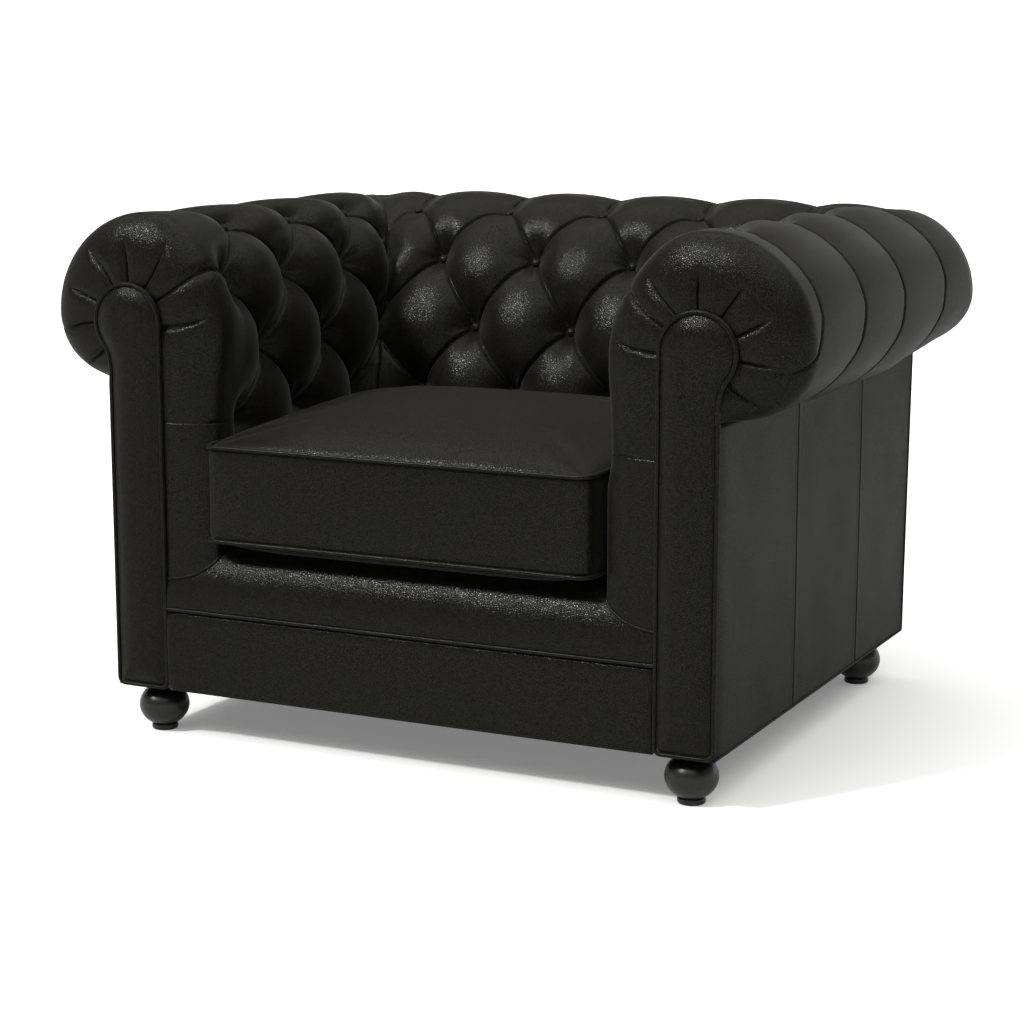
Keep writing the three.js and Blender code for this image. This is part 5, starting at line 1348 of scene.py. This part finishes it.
def front_pieces():
    piece("front_border_leather", front_border(), leather, nodes=("front_border",))
    z = BORDER_TOP + PIPING + SEAM_GAP
    ends = [[-BORDER_CORD_REACH, 0, z], [BORDER_CORD_REACH, 0, z]]
    cord = piping(ends, radius=BORDER_CORD_RADIUS)
    piece("front_border_cord", cord, cord_leather, nodes=("border_piping",))
    made = piece("seat_lip_leather", lip(), leather, nodes=("lip_cover", "deck_pad"))
    low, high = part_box("insulator")
    sheet("seat_hessian", (-BORDER_HALF, HESSIAN_FRONT), (BORDER_HALF, HESSIAN_BACK),
          (low.z + high.z) / 2 / MM, hessian, ("insulator",))
    sheet("deck_cloth", (-DECK_HALF, DECK_FRONT), (DECK_HALF, DECK_BACK), SEAT_HEIGHT - DECK_SAG,
          black_cloth, ("platform_cloth",))
    low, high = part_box("dust_cover")
    sheet("underside_cloth", (low.x / MM, (low.y - FACING_Y) / MM), (high.x / MM, (high.y - FACING_Y) / MM),
          (low.z + high.z) / 2 / MM, black_cloth, ("dust_cover",))


# Seat cushion
CUSHION_HALF = 288
CUSHION_FRONT = -8
CUSHION_BACK = 460
CUSHION_BOTTOM = 292
CUSHION_BOXING = 130
CUSHION_BACK_RISE = 20
CUSHION_CROWN = 36
CUSHION_CROWN_POWERS = (3.4, 2.6)
CUSHION_UNDER = 18
CUSHION_UNDER_POWER = 10
CUSHION_CORNER = 18
CUSHION_DRAW_IN = 0.5
BOXING_EDGE_SHARE = 0.06
BOXING_EDGE_POWER = 0.6
# The front edge has slipped a little towards the left pad
CUSHION_SLIP = 8
CUSHION_SLIP_LENGTH = 160
SEAM_INSET = 2.2
ZIP_Z = CUSHION_BOTTOM + (CUSHION_BOXING + CUSHION_BACK_RISE) / 2
ZIP_FACE = CUSHION_BACK - 4
ZIP_LENGTH = 420
ZIP_WIDTH = 22
# Grid of the cushion's top and bottom, and rings of its wall
CUSHION_COUNTS = (73, 60)
BOXING_ROWS = 17


def cushion_edge_top(y):
    share = (y - CUSHION_FRONT) / (CUSHION_BACK - CUSHION_FRONT)
    return CUSHION_BOTTOM + CUSHION_BOXING + CUSHION_BACK_RISE * share


def cushion_plan(inset):
    """Plan places of a grid with rounded corners, and the grid's own shares across and along."""
    half = CUSHION_HALF - inset
    front, back = CUSHION_FRONT + inset, CUSHION_BACK - inset
    middle, depth = (front + back) / 2, (back - front) / 2
    u, v = np.meshgrid(*(np.linspace(-1, 1, count) for count in CUSHION_COUNTS))
    x, y = u * half, v * depth
    over_x, over_y = np.abs(x) - (half - CUSHION_CORNER), np.abs(y) - (depth - CUSHION_CORNER)
    in_corner = (over_x > 0) & (over_y > 0)
    pull = np.where(in_corner, np.maximum(over_x, over_y) / np.maximum(np.hypot(over_x, over_y), 1e-9), 1)
    x = np.where(in_corner, np.sign(x) * (half - CUSHION_CORNER + over_x * pull), x)
    x = x - CUSHION_SLIP * ease(1 - (y + depth) / CUSHION_SLIP_LENGTH)
    y = np.where(in_corner, np.sign(y) * (depth - CUSHION_CORNER + over_y * pull), y)
    return x, middle + y, u, v


def perimeter(grid):
    """The edge places of a grid, once round."""
    return np.concatenate([grid[0, :-1], grid[:-1, -1], grid[-1, :0:-1], grid[:0:-1, 0]])


def boxing_rings(tight, wide):
    """The wall between the seams: it steps out beside them and is drawn in a little at half its height."""
    outward = unit(wide - tight + 1e-9)
    rings = []
    for share in np.linspace(0, 1, BOXING_ROWS + 2)[1:-1]:
        out = np.minimum(np.minimum(share, 1 - share) / BOXING_EDGE_SHARE, 1) ** BOXING_EDGE_POWER
        place = mix(tight, wide, out) - outward * (np.sin(np.pi * share) * CUSHION_DRAW_IN)
        height = mix(cushion_edge_top(place[:, 1]), CUSHION_BOTTOM, share)
        rings.append(np.concatenate([place, height[:, None]], 1))
    return rings


def cushion_mesh():
    x, y, u, v = cushion_plan(SEAM_INSET)
    across, along = CUSHION_CROWN_POWERS
    crown = np.sqrt((1 - np.abs(u) ** across) * (1 - np.abs(v) ** along))
    under = np.sqrt((1 - np.abs(u) ** CUSHION_UNDER_POWER) * (1 - np.abs(v) ** CUSHION_UNDER_POWER))
    top = np.stack([x, y, cushion_edge_top(y) + CUSHION_CROWN * crown], -1)
    bottom = np.stack([x, y, CUSHION_BOTTOM - CUSHION_UNDER * under], -1)
    wide = perimeter(np.stack(cushion_plan(0)[:2], -1))
    rings = boxing_rings(perimeter(np.stack([x, y], -1)), wide)
    points = np.concatenate([top.reshape(-1, 3), bottom.reshape(-1, 3), *rings])

    size = x.size
    index = np.arange(size).reshape(x.shape)
    top_ring, bottom_ring = perimeter(index), perimeter(index) + size
    loops = [2 * size + k * len(wide) + np.arange(len(wide)) for k in range(BOXING_ROWS)]
    loops = [top_ring, *loops, bottom_ring]
    a, b, c, d = index[:-1, :-1], index[:-1, 1:], index[1:, 1:], index[1:, :-1]
    faces = [np.stack([a, b, c, d], -1).reshape(-1, 4), np.stack([a, d, c, b], -1).reshape(-1, 4) + size]
    for upper, lower in zip(loops[:-1], loops[1:]):
        faces.append(np.stack([upper, lower, np.roll(lower, -1), np.roll(upper, -1)], -1))
    return points, np.concatenate(faces), np.concatenate([top_ring, bottom_ring])


SWELL_FRAMES = 20
SWELL_PRESSURE = 4.0
SWELL_CAP = 0.007


def swollen(obj, pins):
    """Cloth simulation under air pressure: the seams hold still and the leather between them fills out."""
    mesh = obj.data
    start = np.array([vertex.co[:] for vertex in mesh.vertices])
    group = obj.vertex_groups.new(name="seams")
    group.add([int(pin) for pin in pins], 1.0, "REPLACE")
    modifier = obj.modifiers.new("Cloth", "CLOTH")
    settings = modifier.settings
    settings.quality = 5
    settings.mass = 0.4
    settings.tension_stiffness = settings.compression_stiffness = 60
    settings.shear_stiffness = 30
    settings.bending_stiffness = 4
    settings.use_pressure = True
    settings.uniform_pressure_force = SWELL_PRESSURE
    settings.vertex_group_mass = "seams"
    settings.effector_weights.gravity = 0
    modifier.point_cache.frame_start = 1
    modifier.point_cache.frame_end = SWELL_FRAMES
    scene = bpy.context.scene
    for step in range(1, SWELL_FRAMES + 1):
        scene.frame_set(step)
    shape = obj.evaluated_get(bpy.context.evaluated_depsgraph_get()).to_mesh()
    after = np.array([vertex.co[:] for vertex in shape.vertices])
    obj.modifiers.remove(modifier)
    scene.frame_set(1)
    move = after - start
    length = np.linalg.norm(move, axis=1, keepdims=True)
    return start + move * np.minimum(1, SWELL_CAP / np.maximum(length, 1e-9))


DECK_CLEARANCE = 0.5
SLOT_MARGIN = 3
SLOT_REACH = 20


def fitted_cushion(settled):
    """The settled cover laid flat on the deck, with a slot pressed in behind the zip."""
    settled[:, 2] = np.maximum(settled[:, 2], (SEAT_HEIGHT + DECK_CLEARANCE) * MM)
    x, y, z = ((settled - [0, FACING_Y, 0]) / MM).T
    in_slot = (y > CUSHION_BACK - SLOT_REACH) & (np.abs(z - ZIP_Z) < ZIP_WIDTH / 2 + SLOT_MARGIN)
    in_slot &= np.abs(x) < ZIP_LENGTH / 2 + 2 * SLOT_MARGIN
    settled[in_slot, 1] = np.minimum(settled[in_slot, 1], (ZIP_FACE - SLOT_MARGIN) * MM + FACING_Y)
    return settled


def cushion_leather():
    points, faces, pins = cushion_mesh()
    made = mesh_object("cushion_leather", to_row(points), faces.tolist(), leather)
    settled = fitted_cushion(swollen(made, pins))
    made.data.vertices.foreach_set("co", settled.reshape(-1))
    made.data.shade_smooth()
    subdivision = made.modifiers.new("Subdivision", "SUBSURF")
    subdivision.levels = subdivision.render_levels = 1
    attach(made, CUSHION)
    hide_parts("cushion_cover", "cushion_core")


def cushion_cords():
    x, y = cushion_plan(0)[:2]
    loop = perimeter(np.stack([x, y], -1))
    heights = {"top": cushion_edge_top(loop[:, 1]), "bottom": np.full(len(loop), CUSHION_BOTTOM)}
    for name, height in heights.items():
        path = np.concatenate([loop, height[:, None]], 1)
        piece(f"cushion_{name}_cord", piping(path, closed=True), cord_leather, CUSHION,
              (f"cushion_piping_{name}",))


TOOTH_STEP = 3.0
TOOTH_WIDTH = 1.1
TOOTH_HEIGHT = 0.9
TOOTH_REACH = 2.8
TOOTH_ROOT = 0.5
TAPE = 2
BLOCK_POWER = 0.35
BLOCK_ROUND_SHARE = 0.25
BLOCK_SHRINK = 0.8


def box_part(low, high):
    """A closed block with rounded edges along x, from rings of a superellipse in the other two axes."""
    low, high = np.array(low, float), np.array(high, float)
    middle, half = (low + high) / 2, (high - low) / 2
    ring = np.stack([np.zeros(17), *(half[1:, None] * superellipse(17, BLOCK_POWER, BLOCK_POWER))], -1)
    edge = half[0] - min(half) * BLOCK_ROUND_SHARE
    end = half[0]
    stops = ((-end, 0), (-end, BLOCK_SHRINK), (-edge, 1), (edge, 1), (end, BLOCK_SHRINK), (end, 0))
    rings = [middle + ring * shrink + [place, 0, 0] for place, shrink in stops]
    return grid_mesh(np.array(rings))


def superellipse(count, across_power, along_power):
    """Places once round, two coordinates from -1 to 1, with the first place repeated at the end."""
    angle = np.linspace(0, 2 * np.pi, count)
    across = np.sign(np.cos(angle)) * np.abs(np.cos(angle)) ** across_power
    along = np.sign(np.sin(angle)) * np.abs(np.sin(angle)) ** along_power
    return np.array([across, along])


def zip_tape():
    half = ZIP_LENGTH / 2
    tape = box_part([-half, ZIP_FACE - TAPE, ZIP_Z - ZIP_WIDTH / 2], [half, ZIP_FACE, ZIP_Z + ZIP_WIDTH / 2])
    piece("zip_tape", tape, black_cloth, CUSHION, ("cushion_zip",))


def zip_teeth():
    """Two rows of teeth that reach past each other over the middle of the tape."""
    teeth = []
    rows = ((0, -TOOTH_REACH, TOOTH_HEIGHT), (TOOTH_STEP / 2, -TOOTH_HEIGHT, TOOTH_REACH))
    for k in range(int((ZIP_LENGTH - ZIP_WIDTH) / TOOTH_STEP)):
        x = -ZIP_LENGTH / 2 + ZIP_WIDTH / 2 + k * TOOTH_STEP
        for shift, low, high in rows:
            teeth.append(box_part([x + shift, ZIP_FACE - TOOTH_ROOT, ZIP_Z + low],
                                  [x + shift + TOOTH_WIDTH, ZIP_FACE + TOOTH_HEIGHT, ZIP_Z + high]))
    piece("zip_teeth", together(teeth), zip_metal, CUSHION, ())


# The slider's body, its bridge and its pull: half widths, half heights, and how far each stands off
SLIDER_HALF = (5.5, 4.5)
BRIDGE_HALF = (3.5, 2)
SLIDER_FACE = 1.6
BRIDGE_FACE = 2.6
PULL_BACK = 1.4
PULL_DROP = 1
PULL_LENGTH = 23
PULL_HALF_WIDTH = 2.5
PULL_POWERS = (0.6, 0.5)
PULL_HOLE = 1.2
PULL_HOLE_PLACE = -7.5
PULL_SIDES = 25


def zip_slider():
    low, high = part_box("zip_slider")
    x = (low.x + high.x) / 2 / MM
    face = (low.y - FACING_Y) / MM
    parts = []
    for (half, tall), back, front in ((SLIDER_HALF, 0, SLIDER_FACE), (BRIDGE_HALF, PULL_BACK, BRIDGE_FACE)):
        parts.append(box_part([x - half, face + back, ZIP_Z - tall], [x + half, face + front, ZIP_Z + tall]))
    half_size = np.array([[PULL_HALF_WIDTH], [PULL_LENGTH / 2]])
    outline = superellipse(PULL_SIDES, *PULL_POWERS) * half_size
    hole = superellipse(PULL_SIDES, 1, 1) * PULL_HOLE + [[0], [PULL_HOLE_PLACE]]
    middle = ZIP_Z - PULL_DROP - PULL_LENGTH / 2
    back, front = face + PULL_BACK, face + BRIDGE_FACE
    rings = []
    for y, line in ((back, hole), (back, outline), (front, outline), (front, hole), (back, hole)):
        rings.append(np.stack([x + line[0], np.full(PULL_SIDES, y), middle + line[1]], -1))
    parts.append(grid_mesh(np.array(rings)))
    piece("zip_slider_metal", together(parts), zip_metal, "zip_slider", ("zip_slider",),
          smooth=False)


# Turned feet: a base ring, a full bun and a collar
FOOT_X = BODY_HALF - 45
FOOT_PLACES = {"front": 43, "back": BODY_DEPTH - 75}
FOOT_RADIUS = 35.5
FOOT_BASE_RADIUS = 17.5
FOOT_BASE_RING = 9
FOOT_BASE_BULGE = 1.2
FOOT_BASE_ROUND = 3.6
FOOT_COLLAR_RADIUS = 24
FOOT_COLLAR = 7
FOOT_TOP = BODY_BOTTOM + 0.9
FOOT_GROOVE = 0.4
FOOT_NECK = 0.8
FOOT_COLLAR_STEP = 0.6
# How far the floor edge is cut in and up
FOOT_EDGE = (1.5, 0.5)
# How far the rounds of the base ring and the bun turn to either side
FOOT_BASE_TURN = 1.2
FOOT_BUN_TURN = math.pi / 3
FOOT_SHARP = math.radians(40)


def foot_profile():
    """Radius and height from the floor up to the frame."""
    bun = FOOT_TOP - FOOT_COLLAR - FOOT_BASE_RING
    cut_in, cut_up = FOOT_EDGE
    profile = [(0, 0), (FOOT_BASE_RADIUS - cut_in, 0), (FOOT_BASE_RADIUS - FOOT_GROOVE, cut_up)]
    for angle in np.linspace(-FOOT_BASE_TURN, FOOT_BASE_TURN, 7):
        out, up = FOOT_BASE_BULGE * math.cos(angle), FOOT_BASE_ROUND * math.sin(angle)
        profile.append((FOOT_BASE_RADIUS + out, FOOT_BASE_RING / 2 + up))
    profile.append((FOOT_BASE_RADIUS - FOOT_NECK, FOOT_BASE_RING))
    for angle in np.linspace(-FOOT_BUN_TURN, FOOT_BUN_TURN, 28):
        rise = (math.sin(angle) / math.sin(FOOT_BUN_TURN) + 1) / 2
        groove = 0 if abs(angle) < FOOT_BUN_TURN else FOOT_GROOVE
        profile.append((FOOT_RADIUS * math.cos(angle) + groove, FOOT_BASE_RING + FOOT_GROOVE + bun * rise))
    collar = [(FOOT_COLLAR_RADIUS, FOOT_TOP - FOOT_COLLAR + FOOT_COLLAR_STEP), (FOOT_COLLAR_RADIUS, FOOT_TOP)]
    return np.array(profile + collar + [(0, FOOT_TOP)])


def turned_foot(x, y):
    profile = foot_profile()
    angle = np.linspace(0, 2 * np.pi, 57)[None]
    radius, height = profile[:, :1], profile[:, 1:]
    points = np.stack([x + radius * np.cos(angle), y + radius * np.sin(angle), height + 0 * angle], -1)
    return grid_mesh(points)


def feet():
    for end, y in FOOT_PLACES.items():
        for side, sign in SIDES.items():
            made = piece(f"{side}_{end}_bun", turned_foot(sign * FOOT_X, y), turned_wood,
                         nodes=(f"{side}_{end}_foot",))
            made.data.set_sharp_from_angle(angle=FOOT_SHARP)


def finish_inner_nodes():
    """Frame timber, boards, springs and bolts keep their solids, with wood and steel surfaces."""
    surfaces = {"spring": spring_steel, "bolt": spring_steel}
    surfaces.update(dict.fromkeys(("rail", "post", "upright", "block", "board"), frame_wood))
    for name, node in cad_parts.items():
        for keyword, material in surfaces.items():
            if keyword in name:
                for slot in node.material_slots:
                    slot.material = material
                break


arm_covers()
back_cover()
facings()
outside_panels()
front_pieces()
cushion_leather()
cushion_cords()
zip_tape()
zip_teeth()
zip_slider()
feet()
finish_inner_nodes()


# Camera at the photograph's angle
CAMERA_PLACE = (1.50895, -3.18146, 0.94690)
CAMERA_YAW = math.radians(25.98)
CAMERA_PITCH = math.radians(10.70)
FOCAL_PIXELS = 2418.46
FRAME_PIXELS = 1024
SENSOR = 36.0


def make_camera():
    data = bpy.data.cameras.new("camera")
    data.sensor_width = SENSOR
    data.lens = FOCAL_PIXELS / FRAME_PIXELS * SENSOR
    camera = add_object("camera", data)
    camera.location = CAMERA_PLACE
    direction = Vector((
        -math.sin(CAMERA_YAW) * math.cos(CAMERA_PITCH),
        math.cos(CAMERA_YAW) * math.cos(CAMERA_PITCH),
        -math.sin(CAMERA_PITCH),
    ))
    camera.rotation_euler = direction.to_track_quat("-Z", "Y").to_euler()
    bpy.context.scene.camera = camera


BACKGROUND_IN_GLOSS = 0.5


def background_ray(tree):
    """1 for rays from the camera, less for gloss and glass that mirror the background, and 0 for the rest."""
    path = tree.nodes.new("ShaderNodeLightPath").outputs
    indirect = calculated(tree, "MAXIMUM", path["Is Glossy Ray"], path["Is Transmission Ray"])
    return calculated(tree, "MULTIPLY_ADD", indirect, BACKGROUND_IN_GLOSS, path["Is Camera Ray"])


WORLD_FILL = 0.18
WORLD_COLOUR = (1.0, 0.985, 0.955, 1)
ROOM_RADIUS = 28
ROOM_SIDES = 96
BACKDROP_HEIGHT = 7
FLOOR_GREY = 0.93
FLOOR_DIM = 0.35
FLOOR_GLOW = 0.2
FLOOR_WARMTH = 0.99


def make_world():
    world = bpy.data.worlds.new("world")
    bpy.context.scene.world = world
    world.use_nodes = True
    feed(world.node_tree.nodes["Background"], {"Color": WORLD_COLOUR, "Strength": WORLD_FILL})


def pale_material(name, dim, grey, glow):
    """A matt surface that is pale where it is seen as the background, and glows up to white there."""
    material, tree, shader = new_material(name)
    tree.nodes.remove(shader)
    seen = background_ray(tree)
    colour = two_colours(tree, seen, (dim, dim, dim), (grey, grey, grey * FLOOR_WARMTH))
    matt = add_node(tree, "ShaderNodeBsdfDiffuse", {"Color": colour})
    inputs = {"Color": (1, 1, 1, 1), "Strength": ramp(tree, seen, 0, 1, 0, glow)}
    light = add_node(tree, "ShaderNodeEmission", inputs)
    total = add_node(tree, "ShaderNodeAddShader", {0: matt.outputs[0], 1: light.outputs[0]})
    feed(tree.nodes["Material Output"], {"Surface": total.outputs[0]})
    return material


def make_room():
    """A wide round floor and a low white backdrop round it. The room above them is plain and dimmer."""
    angle = np.linspace(0, 2 * np.pi, ROOM_SIDES, endpoint=False)
    ring = np.stack([ROOM_RADIUS * np.cos(angle), ROOM_RADIUS * np.sin(angle), 0 * angle], -1)
    index = np.arange(ROOM_SIDES)
    following = np.roll(index, -1)
    wall = np.stack([index, index + ROOM_SIDES, following + ROOM_SIDES, following], -1)
    shapes = {
        "floor": (ring, [index.tolist()], pale_material("floor", FLOOR_DIM, FLOOR_GREY, FLOOR_GLOW)),
        "backdrop": (np.concatenate([ring, ring + (0, 0, BACKDROP_HEIGHT)]), wall.tolist(),
                     pale_material("backdrop", FLOOR_DIM, FLOOR_GREY, 1.0)),
    }
    for name, (points, faces, material) in shapes.items():
        made = mesh_object(name, points, faces, material)
        made.visible_shadow = name == "floor"


# The key light comes from the front left and above, the wide soft one from over the chair. Each direction
# is the way the light travels.
KEY_DIRECTION = (0.42, 0.56, -0.71)
KEY_STRENGTH = 2.1
KEY_ANGLE = 6
SOFT_DIRECTION = (0.0, 0.1, -1.0)
SOFT_STRENGTH = 3.2
SOFT_ANGLE = 100


def add_sun(name, towards, strength, angle):
    data = bpy.data.lights.new(name, "SUN")
    data.energy = strength
    data.angle = math.radians(angle)
    lamp = add_object(name, data)
    lamp.rotation_euler = Vector(towards).to_track_quat("-Z", "Y").to_euler()


make_camera()
make_world()
make_room()
add_sun("key", KEY_DIRECTION, KEY_STRENGTH, KEY_ANGLE)
add_sun("soft", SOFT_DIRECTION, SOFT_STRENGTH, SOFT_ANGLE)
bpy.context.scene.view_settings.view_transform = "Standard"
